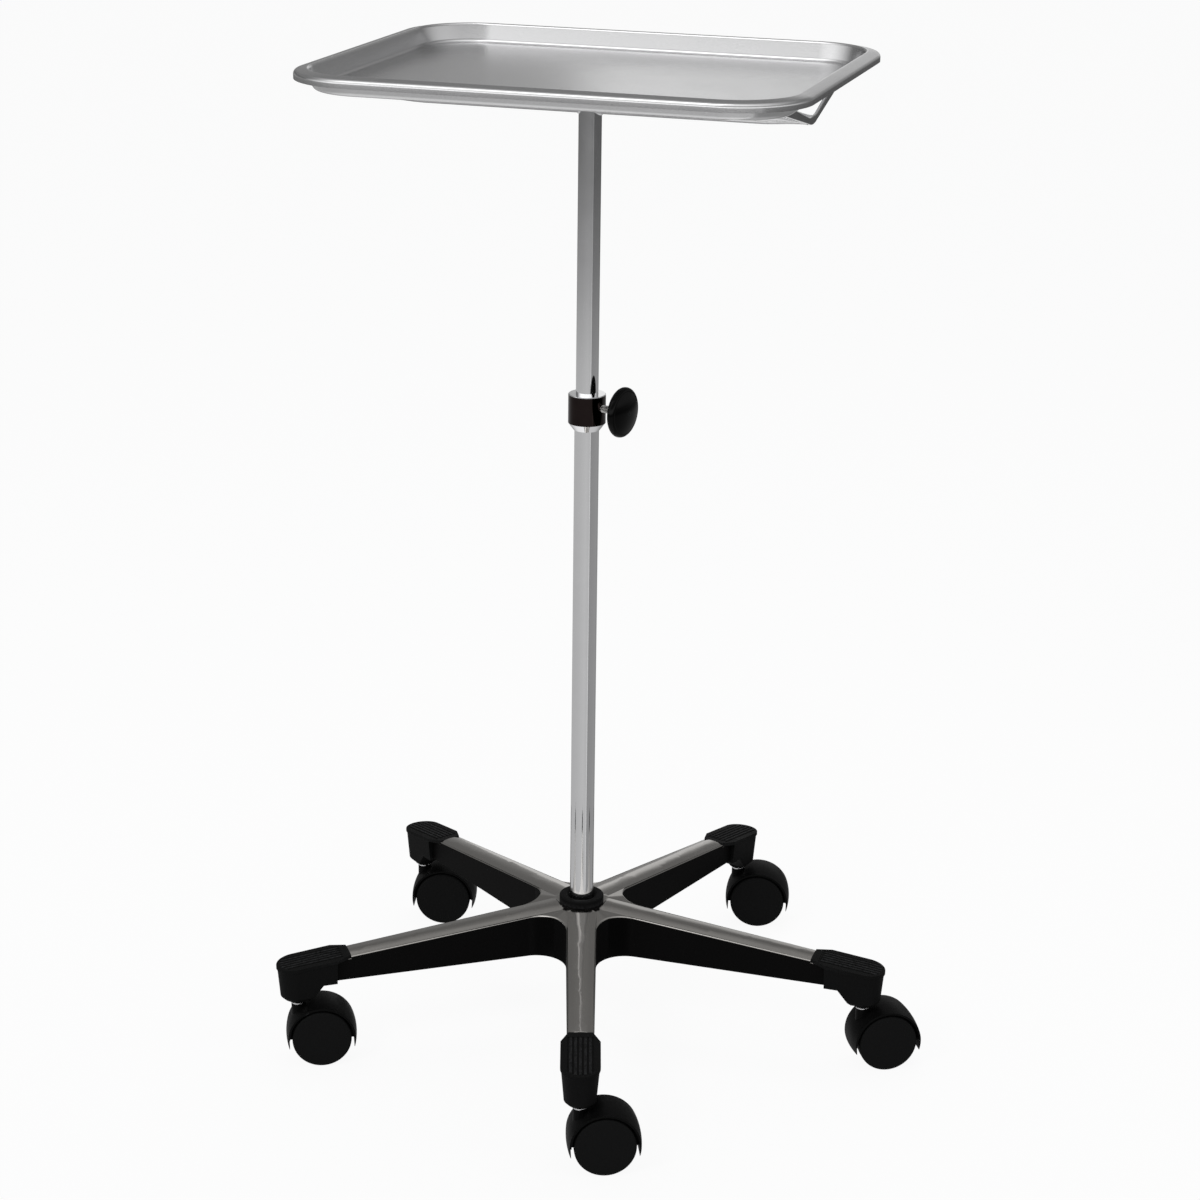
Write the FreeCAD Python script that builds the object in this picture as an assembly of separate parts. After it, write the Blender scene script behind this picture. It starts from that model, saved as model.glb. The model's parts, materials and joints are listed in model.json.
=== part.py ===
import FreeCAD, Part
import math
import os

from FreeCAD import Placement, Rotation, Vector

os.makedirs("parts", exist_ok=True)

# Instrument stand: millimetres, +Z up, origin on the floor under the mast axis.
# The front leg points along -Y, towards whoever uses the stand.

UP = Vector(0, 0, 1)

# Clearances
running_fit = 0.05
seat_gap = 0.1
rest_gap = 0.3

# How far a cutting shape stands out of what it cuts
cut_over = 1.0

# Five-leg base
leg_count = 5
stem_circle_radius = 316.5
leg_bottom_z = 92.0
hub_top_z = 143.5
hub_flat_radius = 26.0
hub_skirt_radius = 41.0
leg_edge_z_inner = 142.0
leg_edge_z_outer = 118.3
leg_slope_end_radius = 265.0
leg_half_width_hub = 16.8
leg_half_width_end = 12.9
leg_tip_overhang = 11.0
leg_crown = 1.8
leg_bevel = 1.2
leg_land = 0.3
leg_fillet_radius = 32.0
casting_wall = 4.0
casting_roof = 5.0
hub_boss_radius = 19.0
socket_radius = 10.5
rib_thickness = 3.0
rib_lift = 8.0
rib_radii = (95.0, 165.0, 235.0)

# Leg-end caps
cap_inner_radius = 261.0
cap_body_inner_radius = 277.0
cap_shoulder_run = 16.0
cap_half_width = 20.2
cap_foot_half_width = 16.4
cap_nose_half_width = 12.5
cap_plate_thickness = 4.0
cap_top_inner_z = 120.2
cap_top_outer_z = 111.8
cap_overhang = 2.2
cap_bottom_z = 72.5
cap_foot_bevel = 4.0
cap_collar_radius = 10.5
cap_collar_drop = 2.5
cap_boss_radius = 10.5
cap_boss_slope_run = 14.0
cap_body_drop = 2.0
cap_rib_count = 6
cap_rib_pitch = 4.9
cap_groove_width = 1.8
cap_groove_depth = 0.9
cap_groove_margin = 8.0

# Mast
lower_tube_radius = 12.7
lower_tube_wall = 0.9
upper_tube_radius = 11.6
upper_tube_wall = 1.2
tube_foot_z = 103.0
mast_top_z = 999.7
upper_tube_foot_z = 392.0
bush_head_length = 18.0
bush_spigot_length = 18.0
foot_ring_radius = 24.0
foot_ring_height = 7.0
foot_ring_bevel = 2.0

# Hub bolt, under the mast
bolt_radius = 5.0
bolt_head_radius = 8.5
bolt_head_sides = 6
bolt_head_height = 6.4
bolt_reach = 16.0
plug_height = 20.0
washer_radius = 11.0
washer_thickness = 2.0
hub_floor_thickness = 6.0

# Clamp
collar_radius = 19.4
collar_top_z = 713.5
collar_height = 30.5
collar_taper_height = 7.5
collar_taper_radius = 13.8
collar_seat_depth = 15.0
collar_rounding = 0.8
clamp_azimuth = -33.0
stud_radius = 4.0
stud_drop = 13.4
stud_pilot_radius = 2.0
pad_thickness = 2.5
pad_recess_depth = 1.2
knob_radius = 26.0
knob_rim_distance = 43.2
knob_rim_radius = 4.3
knob_dome = 8.5
knob_neck_radius = 7.5
knob_neck_distance = 33.5

# Cradle and tray, turned together about the mast
tray_turn = -17.8
spine_radius = 12.7
spine_wall = 1.5
cradle_end_inset = 28.0
spine_flat_length = 52.0
spine_flat_half_width = 18.0
spine_flat_thickness = 8.0
spine_flat_steps = 3
spine_lift = 3.0
wing_thickness = 3.0
cradle_side_inset = 85.0
wing_arm_length = 38.0
wing_notch_foot = 16.0
wing_notch_rise = 0.6
wing_end_height = 2.0
tray_length = 509.0
tray_width = 430.0
tray_depth = 20.0
tray_thickness = 1.0
tray_rim_z = 1054.5
tray_corner_radius = 75.0
tray_shift = 4.0
tray_flange_width = 14.5
tray_flange_fall = 2.8
tray_lip_height = 10.5
tray_wall_run = 4.5
tray_floor_bend = 5.0
tray_flange_bend = 2.6
tray_lip_bend = 3.6

# Casters
wheel_radius = 31.5
wheel_width = 14.2
wheel_web = 3.0
wheel_rim = 4.0
wheel_hub_radius = 7.0
wheel_rounding = 2.5
caster_half_width = 22.0
caster_trail = 24.0
caster_turns = (5.0, 11.0, -5.0, -4.0, 7.0)
hood_radius = 36.0
hood_crown = 1.6
hood_thickness = 2.2
hood_tip_angle = 16.0
hood_tip_length = 10.0
hood_tip_skin = 1.2
hood_web_thickness = 15.0
hood_web_drop = 6.0
hood_tip_blunt = 0.4
hood_neck_radius = 7.3
hood_neck_top_z = 66.6
stem_radius = 5.5
stem_foot_z = 44.0
stem_top_z = 104.0
stem_shoulder_radius = 6.6
caster_washer_radius = 7.4
caster_washer_thickness = 1.2
axle_radius = 3.0

# Worked-out places
floor_under_z = tray_rim_z - tray_depth - tray_thickness
spine_half_length = tray_length / 2 - cradle_end_inset
wing_half_span = tray_width / 2 - cradle_side_inset
wing_notch_half_width = wing_half_span - wing_arm_length
spine_z = mast_top_z + spine_radius
spine_flat_bottom_z = mast_top_z + spine_lift
wing_top_z = floor_under_z - rest_gap
stud_z = collar_top_z - stud_drop
collar_cylinder_foot_z = collar_top_z - collar_height
collar_foot_z = collar_cylinder_foot_z - collar_taper_height
lower_tube_top_z = collar_foot_z + collar_seat_depth
leg_tip_radius = stem_circle_radius + leg_tip_overhang
cap_centre_radius = stem_circle_radius + cap_overhang
cap_outer_radius = cap_centre_radius + cap_half_width


def turned(shape, degrees):
    """A copy of a shape turned about the mast axis."""
    copy = shape.copy()
    copy.rotate(Vector(0, 0, 0), UP, degrees)
    return copy


def cylinder(radius, bottom, top, x=0.0, y=0.0):
    return Part.makeCylinder(radius, top - bottom, Vector(x, y, bottom), UP)


def revolved(outline):
    """Turns a closed outline of (radius, height) points into a solid round +Z."""
    points = [Vector(radius, 0, height) for radius, height in outline]
    face = Part.Face(Part.makePolygon(points + points[:1]))
    return face.revolve(Vector(0, 0, 0), UP, 360)


def plate(points, thickness, direction):
    """A flat piece from its corner points, pushed along a direction."""
    face = Part.Face(Part.makePolygon(points + points[:1]))
    return face.extrude(direction * thickness)


def fused(shapes):
    return shapes[0].multiFuse(shapes[1:]).removeSplitter()


def save(shape, name):
    shape.exportStep("parts/" + name + ".step")


def leg_half_width(radius):
    """Half the width of a leg at a distance from the mast."""
    share = radius / leg_tip_radius
    return leg_half_width_hub + (leg_half_width_end - leg_half_width_hub) * share


def leg_edge_z(radius):
    """Height of a leg's top edge at a distance from the mast."""
    slope = (leg_edge_z_outer - leg_edge_z_inner) / (leg_slope_end_radius - hub_flat_radius)
    return leg_edge_z_inner + slope * (radius - hub_flat_radius)


def leg_outline(inset, tip_radius):
    """Plan of one leg with its half of the web fillets, as a face at height 0."""
    half_pitch = math.pi / leg_count
    fillet = leg_fillet_radius + inset
    half_hub = leg_half_width_hub - inset
    taper = math.atan((leg_half_width_hub - leg_half_width_end) / leg_tip_radius)
    # The fillet's centre lies on the line midway between two legs.
    reach = (half_hub * math.cos(taper) + fillet) / math.sin(half_pitch + taper)
    centre = Vector(reach * math.cos(half_pitch), reach * math.sin(half_pitch), 0)
    touch = centre + Vector(-math.sin(taper), -math.cos(taper), 0) * fillet
    inner = centre * ((reach - fillet) / reach)
    start = math.atan2(touch.y - centre.y, touch.x - centre.x)
    end = math.atan2(inner.y - centre.y, inner.x - centre.x)
    middle = centre + Vector(math.cos((start + end) / 2), math.sin((start + end) / 2), 0) * fillet
    half_tip = leg_half_width_hub - tip_radius * math.tan(taper) - inset
    tip = Vector(tip_radius, half_tip, 0)
    mirror = lambda point: Vector(point.x, -point.y, 0)
    edges = [
        Part.LineSegment(Vector(0, 0, 0), inner).toShape(),
        Part.Arc(inner, middle, touch).toShape(),
        Part.LineSegment(touch, tip).toShape(),
        Part.LineSegment(tip, mirror(tip)).toShape(),
        Part.LineSegment(mirror(tip), mirror(touch)).toShape(),
        Part.Arc(mirror(touch), mirror(middle), mirror(inner)).toShape(),
        Part.LineSegment(mirror(inner), Vector(0, 0, 0)).toShape(),
    ]
    return Part.Face(Part.Wire(edges))


def leg_block(inset, tip_radius, bottom, drop):
    """One leg along +X with its half webs, from a height up to its sloping roof lowered by a drop."""
    block = leg_outline(inset, tip_radius).extrude(UP * (hub_top_z - bottom))
    block.translate(UP * bottom)
    far = leg_tip_radius + cut_over
    wide = 2 * (leg_half_width_hub + leg_fillet_radius)
    side = [
        Vector(0, -wide / 2, bottom - cut_over),
        Vector(far, -wide / 2, bottom - cut_over),
        Vector(far, -wide / 2, leg_edge_z(far) - drop),
        Vector(0, -wide / 2, leg_edge_z(0) - drop),
    ]
    return block.common(plate(side, wide, Vector(0, 1, 0)))


def star(block):
    """Five copies of a leg as one body."""
    pitch = 360.0 / leg_count
    return fused([turned(block, pitch * number) for number in range(leg_count)])


def crown_section(radius):
    """Cross-section of a leg's crowned top at a distance from the mast."""
    half = leg_half_width(radius) - leg_bevel - leg_land
    edge = leg_edge_z(radius)
    left = Vector(radius, half, edge)
    right = Vector(radius, -half, edge)
    low_left = Vector(radius, half, edge - leg_bevel)
    low_right = Vector(radius, -half, edge - leg_bevel)
    return Part.Wire([
        Part.Arc(left, Vector(radius, 0, edge + leg_crown), right).toShape(),
        Part.LineSegment(right, low_right).toShape(),
        Part.LineSegment(low_right, low_left).toShape(),
        Part.LineSegment(low_left, left).toShape(),
    ])


def base_casting():
    """The five-leg casting, open underneath, with its hub boss and caster sockets."""
    pitch = 360.0 / leg_count
    leg = leg_block(0, leg_tip_radius, leg_bottom_z, 0)
    rim_edges = []
    for edge in leg.Edges:
        nearest = min(math.hypot(corner.X, corner.Y) for corner in edge.Vertexes)
        on_rim = edge.BoundBox.ZMin > leg_bottom_z + cut_over
        if on_rim and hub_skirt_radius < nearest < leg_tip_radius - cut_over:
            rim_edges.append(edge)
    body = star(leg.makeChamfer(leg_bevel, rim_edges))
    crown = Part.makeLoft([crown_section(hub_flat_radius), crown_section(leg_tip_radius - leg_bevel)], True, True)
    skirt_z = leg_edge_z(hub_skirt_radius) - leg_bevel
    hub = revolved([(0, skirt_z), (hub_skirt_radius, skirt_z), (hub_flat_radius, hub_top_z), (0, hub_top_z)])
    crowns = [turned(crown, pitch * number) for number in range(leg_count)]
    body = body.multiFuse(crowns + [hub])
    steps = [turned(cap_step(seat_gap), pitch * number) for number in range(leg_count)]
    body = body.cut(steps)

    inside_tip = stem_circle_radius - socket_radius
    hollow = star(leg_block(casting_wall, inside_tip, leg_bottom_z - cut_over, casting_roof))
    bosses = [cylinder(hub_boss_radius, tube_foot_z - hub_floor_thickness, hub_top_z)]
    for number in range(leg_count):
        socket = cylinder(socket_radius, leg_bottom_z, hub_top_z, stem_circle_radius)
        bosses.append(turned(socket, pitch * number))
        for radius in rib_radii:
            rib = Part.makeBox(rib_thickness, 2 * leg_half_width_hub, hub_top_z - leg_bottom_z,
                               Vector(radius, -leg_half_width_hub, leg_bottom_z + rib_lift))
            bosses.append(turned(rib, pitch * number))
    hollow = hollow.cut(bosses)
    body = body.cut(hollow)

    holes = [cylinder(lower_tube_radius + seat_gap, tube_foot_z, hub_top_z + cut_over)]
    holes.append(cylinder(bolt_radius + seat_gap, leg_bottom_z, tube_foot_z + cut_over))
    for number in range(leg_count):
        bore = cylinder(stem_radius + running_fit, leg_bottom_z - cut_over, stem_top_z + cut_over, stem_circle_radius)
        holes.append(turned(bore, pitch * number))
    return body.cut(holes).removeSplitter()


def cap_top_z(radius):
    """Height of a cap's top at a distance from the mast."""
    slope = (cap_top_outer_z - cap_top_inner_z) / (cap_outer_radius - cap_inner_radius)
    return cap_top_inner_z + slope * (radius - cap_inner_radius)


def cap_step(gap):
    """The room that a cap's top plate takes out of the leg along +X."""
    start = cap_inner_radius - gap
    end = cap_outer_radius + cut_over
    low = cap_plate_thickness + gap
    side = [
        Vector(start, -cap_half_width, cap_top_z(start) - low),
        Vector(end, -cap_half_width, cap_top_z(end) - low),
        Vector(end, -cap_half_width, hub_top_z),
        Vector(start, -cap_half_width, hub_top_z),
    ]
    return plate(side, 2 * cap_half_width, Vector(0, 1, 0))


def cap_stadium(half_width, inner, height):
    """Plan of a cap's body: square at the inner end and round at the outer end."""
    centre = cap_centre_radius
    left = Vector(inner, half_width, height)
    right = Vector(inner, -half_width, height)
    turn_left = Vector(centre, half_width, height)
    turn_right = Vector(centre, -half_width, height)
    nose = Vector(centre + half_width, 0, height)
    return Part.Wire([
        Part.LineSegment(right, turn_right).toShape(),
        Part.Arc(turn_right, nose, turn_left).toShape(),
        Part.LineSegment(turn_left, left).toShape(),
        Part.LineSegment(left, right).toShape(),
    ])


def cap_plate_outline(height, inset):
    """Plan of the ribbed top plate: a blunt point at the inner end."""
    centre = cap_centre_radius
    half = cap_half_width - inset
    nose = cap_nose_half_width - inset
    shoulder = cap_inner_radius + cap_shoulder_run
    points = [
        Vector(cap_inner_radius + inset, -nose, height),
        Vector(shoulder, -half, height),
        Vector(centre, -half, height),
    ]
    mirrored = [Vector(point.x, -point.y, height) for point in reversed(points)]
    return Part.Wire([
        Part.makePolygon(points),
        Part.Arc(points[-1], Vector(centre + half, 0, height), mirrored[0]).toShape(),
        Part.makePolygon(mirrored),
        Part.LineSegment(mirrored[-1], points[0]).toShape(),
    ])


def end_cap():
    """One ribbed cap over the leg along +X, hollowed by the leg itself."""
    centre = stem_circle_radius
    outer = cap_outer_radius
    body = Part.makeLoft([
        cap_stadium(cap_foot_half_width - cap_foot_bevel, cap_body_inner_radius, cap_bottom_z),
        cap_stadium(cap_foot_half_width, cap_body_inner_radius, cap_bottom_z + cap_foot_bevel),
        cap_stadium(cap_half_width, cap_body_inner_radius, cap_top_inner_z),
    ], True, True)
    plate_body = Part.Face(cap_plate_outline(cap_bottom_z, 0)).extrude(UP * (cap_top_inner_z - cap_bottom_z))

    # Side view of the body: full depth at the stem, rising to the leg's underside.
    wide = Vector(0, 2 * cap_half_width, 0)
    low_inner = leg_bottom_z - cap_body_drop
    start = cap_body_inner_radius - cut_over
    body_side = [
        Vector(start, 0, low_inner),
        Vector(centre - cap_boss_radius - cap_boss_slope_run, 0, low_inner),
        Vector(centre - cap_boss_radius, 0, cap_bottom_z),
        Vector(outer + cut_over, 0, cap_bottom_z),
        Vector(outer + cut_over, 0, cap_top_z(outer + cut_over) - cap_plate_thickness / 2),
        Vector(start, 0, cap_top_z(start) - cap_plate_thickness / 2),
    ]
    body_mask = Part.Face(Part.makePolygon(body_side + body_side[:1])).extrude(wide)
    body_mask.translate(wide * -0.5)
    plate_side = [
        Vector(cap_inner_radius - cut_over, 0, cap_top_z(cap_inner_radius - cut_over) - cap_plate_thickness),
        Vector(outer + cut_over, 0, cap_top_z(outer + cut_over) - cap_plate_thickness),
        Vector(outer + cut_over, 0, cap_top_z(outer + cut_over)),
        Vector(cap_inner_radius - cut_over, 0, cap_top_z(cap_inner_radius - cut_over)),
    ]
    plate_mask = Part.Face(Part.makePolygon(plate_side + plate_side[:1])).extrude(wide)
    plate_mask.translate(wide * -0.5)
    collar = cylinder(cap_collar_radius, cap_bottom_z - cap_collar_drop, cap_bottom_z + cap_foot_bevel, centre)
    cap = fused([body.common(body_mask), plate_body.common(plate_mask), collar])

    grooves = []
    for number in range(cap_rib_count):
        y = (number - (cap_rib_count - 1) / 2.0) * cap_rib_pitch
        reach = math.sqrt((cap_half_width - cap_groove_margin / 2) ** 2 - y * y)
        start = cap_inner_radius + cap_groove_margin
        end = cap_centre_radius + reach
        side = [
            Vector(start, y - cap_groove_width / 2, cap_top_z(start) - cap_groove_depth),
            Vector(end, y - cap_groove_width / 2, cap_top_z(end) - cap_groove_depth),
            Vector(end, y - cap_groove_width / 2, cap_top_inner_z + cut_over),
            Vector(start, y - cap_groove_width / 2, cap_top_inner_z + cut_over),
        ]
        grooves.append(plate(side, cap_groove_width, Vector(0, 1, 0)))
    cap = cap.cut(grooves)

    leg_room = leg_block(-seat_gap, leg_tip_radius + seat_gap, leg_bottom_z - seat_gap, -seat_gap)
    crown = Part.makeLoft([crown_section(cap_inner_radius - 2 * cap_groove_margin),
                           crown_section(leg_tip_radius)], True, True)
    crown.translate(UP * seat_gap)
    leg_room = leg_room.fuse(crown).cut(cap_step(0))
    opening = cylinder(stem_shoulder_radius + rest_gap, cap_bottom_z - cap_collar_drop - cut_over, leg_bottom_z, centre)
    return cap.cut([leg_room, opening]).removeSplitter()


def foot_ring():
    inner = lower_tube_radius + seat_gap
    top = hub_top_z + foot_ring_height
    return revolved([
        (inner, hub_top_z),
        (foot_ring_radius, hub_top_z),
        (foot_ring_radius, top - foot_ring_bevel),
        (foot_ring_radius - foot_ring_bevel, top),
        (inner + foot_ring_bevel, top),
        (inner, top - foot_ring_bevel),
    ])


def lower_tube():
    outer = cylinder(lower_tube_radius, tube_foot_z, lower_tube_top_z)
    bore_radius = lower_tube_radius - lower_tube_wall
    return outer.cut(cylinder(bore_radius, tube_foot_z - cut_over, lower_tube_top_z + cut_over))


def tube_foot_plug():
    radius = lower_tube_radius - lower_tube_wall - seat_gap
    plug = cylinder(radius, tube_foot_z, tube_foot_z + plug_height)
    return plug.cut(cylinder(bolt_radius + seat_gap, tube_foot_z - cut_over, tube_foot_z + plug_height + cut_over))


def hub_washer():
    top = tube_foot_z - hub_floor_thickness
    washer = cylinder(washer_radius, top - washer_thickness, top)
    return washer.cut(cylinder(bolt_radius + seat_gap, top - washer_thickness - cut_over, top + cut_over))


def hub_bolt():
    top = tube_foot_z - hub_floor_thickness - washer_thickness
    shank = cylinder(bolt_radius, top, tube_foot_z + bolt_reach)
    corners = []
    for number in range(bolt_head_sides):
        angle = math.radians(number * 360.0 / bolt_head_sides)
        corners.append(Vector(bolt_head_radius * math.cos(angle), bolt_head_radius * math.sin(angle),
                              top - bolt_head_height))
    head = plate(corners, bolt_head_height, UP)
    return fused([shank, head])


def clamp_axis():
    angle = math.radians(clamp_azimuth)
    return Vector(math.cos(angle), math.sin(angle), 0)


def along_clamp(shape):
    """Puts a shape built round +Z from the mast axis onto the clamp's axis."""
    placed = shape.copy()
    placed.Placement = Placement(UP * stud_z, Rotation(UP, clamp_axis()))
    return placed


def clamp_collar():
    """The collar on top of the lower tube, bored for both tubes and the stud."""
    ease = collar_rounding
    outline = [
        (upper_tube_radius + running_fit, collar_top_z),
        (collar_radius - ease, collar_top_z),
        (collar_radius, collar_top_z - ease),
        (collar_radius, collar_cylinder_foot_z),
        (collar_taper_radius, collar_foot_z),
        (lower_tube_radius + seat_gap, collar_foot_z),
        (lower_tube_radius + seat_gap, lower_tube_top_z),
        (upper_tube_radius + running_fit, lower_tube_top_z),
    ]
    cross_hole = along_clamp(cylinder(stud_radius + running_fit, 0, collar_radius + cut_over))
    return revolved(outline).cut(cross_hole)


def clamp_pad():
    """The pad on the stud's tip, which presses the upper tube."""
    start = upper_tube_radius + rest_gap
    pad = cylinder(stud_radius, start, start + pad_thickness)
    recess = cylinder(stud_pilot_radius + seat_gap, start + pad_thickness - pad_recess_depth,
                      start + pad_thickness + cut_over)
    return along_clamp(pad.cut(recess))


def clamp_stud():
    start = upper_tube_radius + rest_gap + pad_thickness + seat_gap
    end = knob_rim_distance
    shank = cylinder(stud_radius, start, end)
    pilot = cylinder(stud_pilot_radius, start - pad_recess_depth, start)
    return along_clamp(fused([shank, pilot]))


def hand_knob():
    """The turned knob: a neck, a cone behind, a round rim and a domed face."""
    rim = knob_rim_distance
    neck = Vector(knob_neck_radius, 0, knob_neck_distance)
    hole = stud_radius + seat_gap
    back_rim = Vector(knob_radius - knob_rim_radius, 0, rim - knob_rim_radius)
    edge = Vector(knob_radius, 0, rim)
    face_rim = Vector(knob_radius - knob_rim_radius, 0, rim + knob_rim_radius)
    crown = Vector(0, 0, rim + knob_dome)
    # The domed face is part of a sphere whose centre lies on the knob's axis.
    rise = crown.z - face_rim.z
    sphere = (rise * rise + face_rim.x * face_rim.x) / (2 * rise)
    half_angle = math.asin(face_rim.x / sphere) / 2
    shoulder = Vector(sphere * math.sin(half_angle), 0, crown.z - sphere * (1 - math.cos(half_angle)))
    wire = Part.Wire([
        Part.LineSegment(Vector(hole, 0, knob_neck_distance), neck).toShape(),
        Part.LineSegment(neck, back_rim).toShape(),
        Part.Arc(back_rim, edge, face_rim).toShape(),
        Part.Arc(face_rim, shoulder, crown).toShape(),
        Part.LineSegment(crown, Vector(0, 0, rim + seat_gap)).toShape(),
        Part.LineSegment(Vector(0, 0, rim + seat_gap), Vector(hole, 0, rim + seat_gap)).toShape(),
        Part.LineSegment(Vector(hole, 0, rim + seat_gap), Vector(hole, 0, knob_neck_distance)).toShape(),
    ])
    return along_clamp(Part.Face(wire).revolve(Vector(0, 0, 0), UP, 360))


def guide_bush():
    """Head that slides in the lower tube, and spigot that the upper tube turns on."""
    head = cylinder(lower_tube_radius - lower_tube_wall - running_fit,
                    upper_tube_foot_z - bush_head_length - running_fit, upper_tube_foot_z - running_fit)
    spigot = cylinder(upper_tube_radius - upper_tube_wall - running_fit,
                      upper_tube_foot_z - running_fit, upper_tube_foot_z + bush_spigot_length)
    return fused([head, spigot])


def spine_core(radius):
    """A round bar along the tray's length at the spine's height."""
    bar = Part.makeCylinder(radius, 2 * spine_half_length,
                            Vector(-spine_half_length, 0, spine_z), Vector(1, 0, 0))
    return turned(bar, tray_turn)


def upper_tube():
    """The upper tube, cut at the top to sit round the spine."""
    outer = cylinder(upper_tube_radius, upper_tube_foot_z, spine_z)
    inner = cylinder(upper_tube_radius - upper_tube_wall, upper_tube_foot_z - cut_over, spine_z + cut_over)
    return outer.cut([inner, spine_core(spine_radius + seat_gap / 2)])


def spine_section(x, half_width, half_height, height):
    """Oval cross-section of the spine; a circle where both halves are equal."""
    centre = Vector(x, 0, height)
    if half_width == half_height:
        return Part.Wire(Part.Circle(centre, Vector(1, 0, 0), half_width).toShape())
    ellipse = Part.Ellipse(centre + Vector(0, half_width, 0), centre + UP * half_height, centre)
    return Part.Wire(ellipse.toShape())


def spine_end(side, wall):
    """The last stretch of the spine, pressed from round to flat."""
    start = side * (spine_half_length - spine_flat_length)
    end = side * (spine_half_length - wing_thickness - seat_gap)
    flat = spine_flat_thickness / 2
    sections = []
    for step in range(spine_flat_steps + 1):
        share = step / spine_flat_steps
        ease = share * share * (3 - 2 * share)
        x = start + (end - start) * share
        half_height = spine_radius + (flat - spine_radius) * ease
        half_width = spine_radius + (spine_flat_half_width - spine_radius) * ease
        height = spine_z + (spine_flat_bottom_z + flat - spine_z) * ease
        sections.append((x, half_width - wall, half_height - wall, height))
    wires = [spine_section(*section) for section in sections]
    return Part.makeLoft(wires, True)


def cradle_spine():
    """The tube under the tray, round along most of its length and pressed flat at both ends."""
    length = 2 * (spine_half_length - spine_flat_length)
    start = Vector(-length / 2, 0, spine_z)
    outer = Part.makeCylinder(spine_radius, length, start, Vector(1, 0, 0))
    inner = Part.makeCylinder(spine_radius - spine_wall, length, start, Vector(1, 0, 0))
    spine = outer.fuse([spine_end(-1, 0), spine_end(1, 0)])
    spine = spine.cut([inner, spine_end(-1, spine_wall), spine_end(1, spine_wall)])
    return turned(spine, tray_turn)


def cradle_wing(side):
    """An upright plate across one end: two arms that rise in a curve from the spine to the tray."""
    low = spine_flat_bottom_z
    notch = low + spine_flat_thickness + seat_gap
    half = wing_half_span
    inner = wing_notch_half_width
    x = spine_half_length - wing_thickness
    point = lambda y, z: Vector(x, y, z)
    foot = wing_notch_foot
    rise = notch + wing_notch_rise
    end = wing_top_z - wing_end_height
    lower = Part.Arc(point(-half, end), point(0, low), point(half, end)).toShape()
    edges = [
        lower,
        Part.LineSegment(point(half, end), point(half, wing_top_z)).toShape(),
        Part.LineSegment(point(half, wing_top_z), point(inner, wing_top_z)).toShape(),
        Part.LineSegment(point(inner, wing_top_z), point(foot, rise)).toShape(),
        Part.Arc(point(foot, rise), point(0, notch), point(-foot, rise)).toShape(),
        Part.LineSegment(point(-foot, rise), point(-inner, wing_top_z)).toShape(),
        Part.LineSegment(point(-inner, wing_top_z), point(-half, wing_top_z)).toShape(),
        Part.LineSegment(point(-half, wing_top_z), point(-half, end)).toShape(),
    ]
    wing = Part.Face(Part.Wire(edges)).extrude(Vector(wing_thickness, 0, 0))
    return turned(wing, tray_turn + (0 if side > 0 else 180))


def sheet_side(corners, bends, offset):
    """One face of a folded sheet: its centre line's edges in order, moved sideways by an offset."""
    left_of = lambda along: Vector(-along.z, 0, along.x)
    directions = [(last - first).normalize() for first, last in zip(corners, corners[1:])]
    here = corners[0] + left_of(directions[0]) * offset
    edges = []
    for corner, before, after, bend in zip(corners[1:], directions, directions[1:], bends):
        cut = bend * math.tan(before.getAngle(after) / 2)
        side = 1 if left_of(before).dot(after) > 0 else -1
        centre = corner - before * cut + left_of(before) * (side * bend)
        into = corner - before * cut + left_of(before) * offset
        out = corner + after * cut + left_of(after) * offset
        middle = centre + (corner - centre).normalize() * (bend - side * offset)
        edges.append(Part.LineSegment(here, into).toShape())
        edges.append(Part.Arc(into, middle, out).toShape())
        here = out
    end = corners[-1] + left_of(directions[-1]) * offset
    edges.append(Part.LineSegment(here, end).toShape())
    return edges


def bent_sheet(corners, bends, thickness):
    """Cross-section of a folded sheet, in the XZ plane, from its centre line and bend radii."""
    upper = sheet_side(corners, bends, thickness / 2)
    lower = sheet_side(corners, bends, -thickness / 2)
    far_end = Part.LineSegment(upper[-1].Vertexes[-1].Point, lower[-1].Vertexes[-1].Point).toShape()
    near_end = Part.LineSegment(lower[0].Vertexes[0].Point, upper[0].Vertexes[0].Point).toShape()
    return Part.Face(Part.Wire(upper + [far_end] + lower[::-1] + [near_end]))


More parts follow.
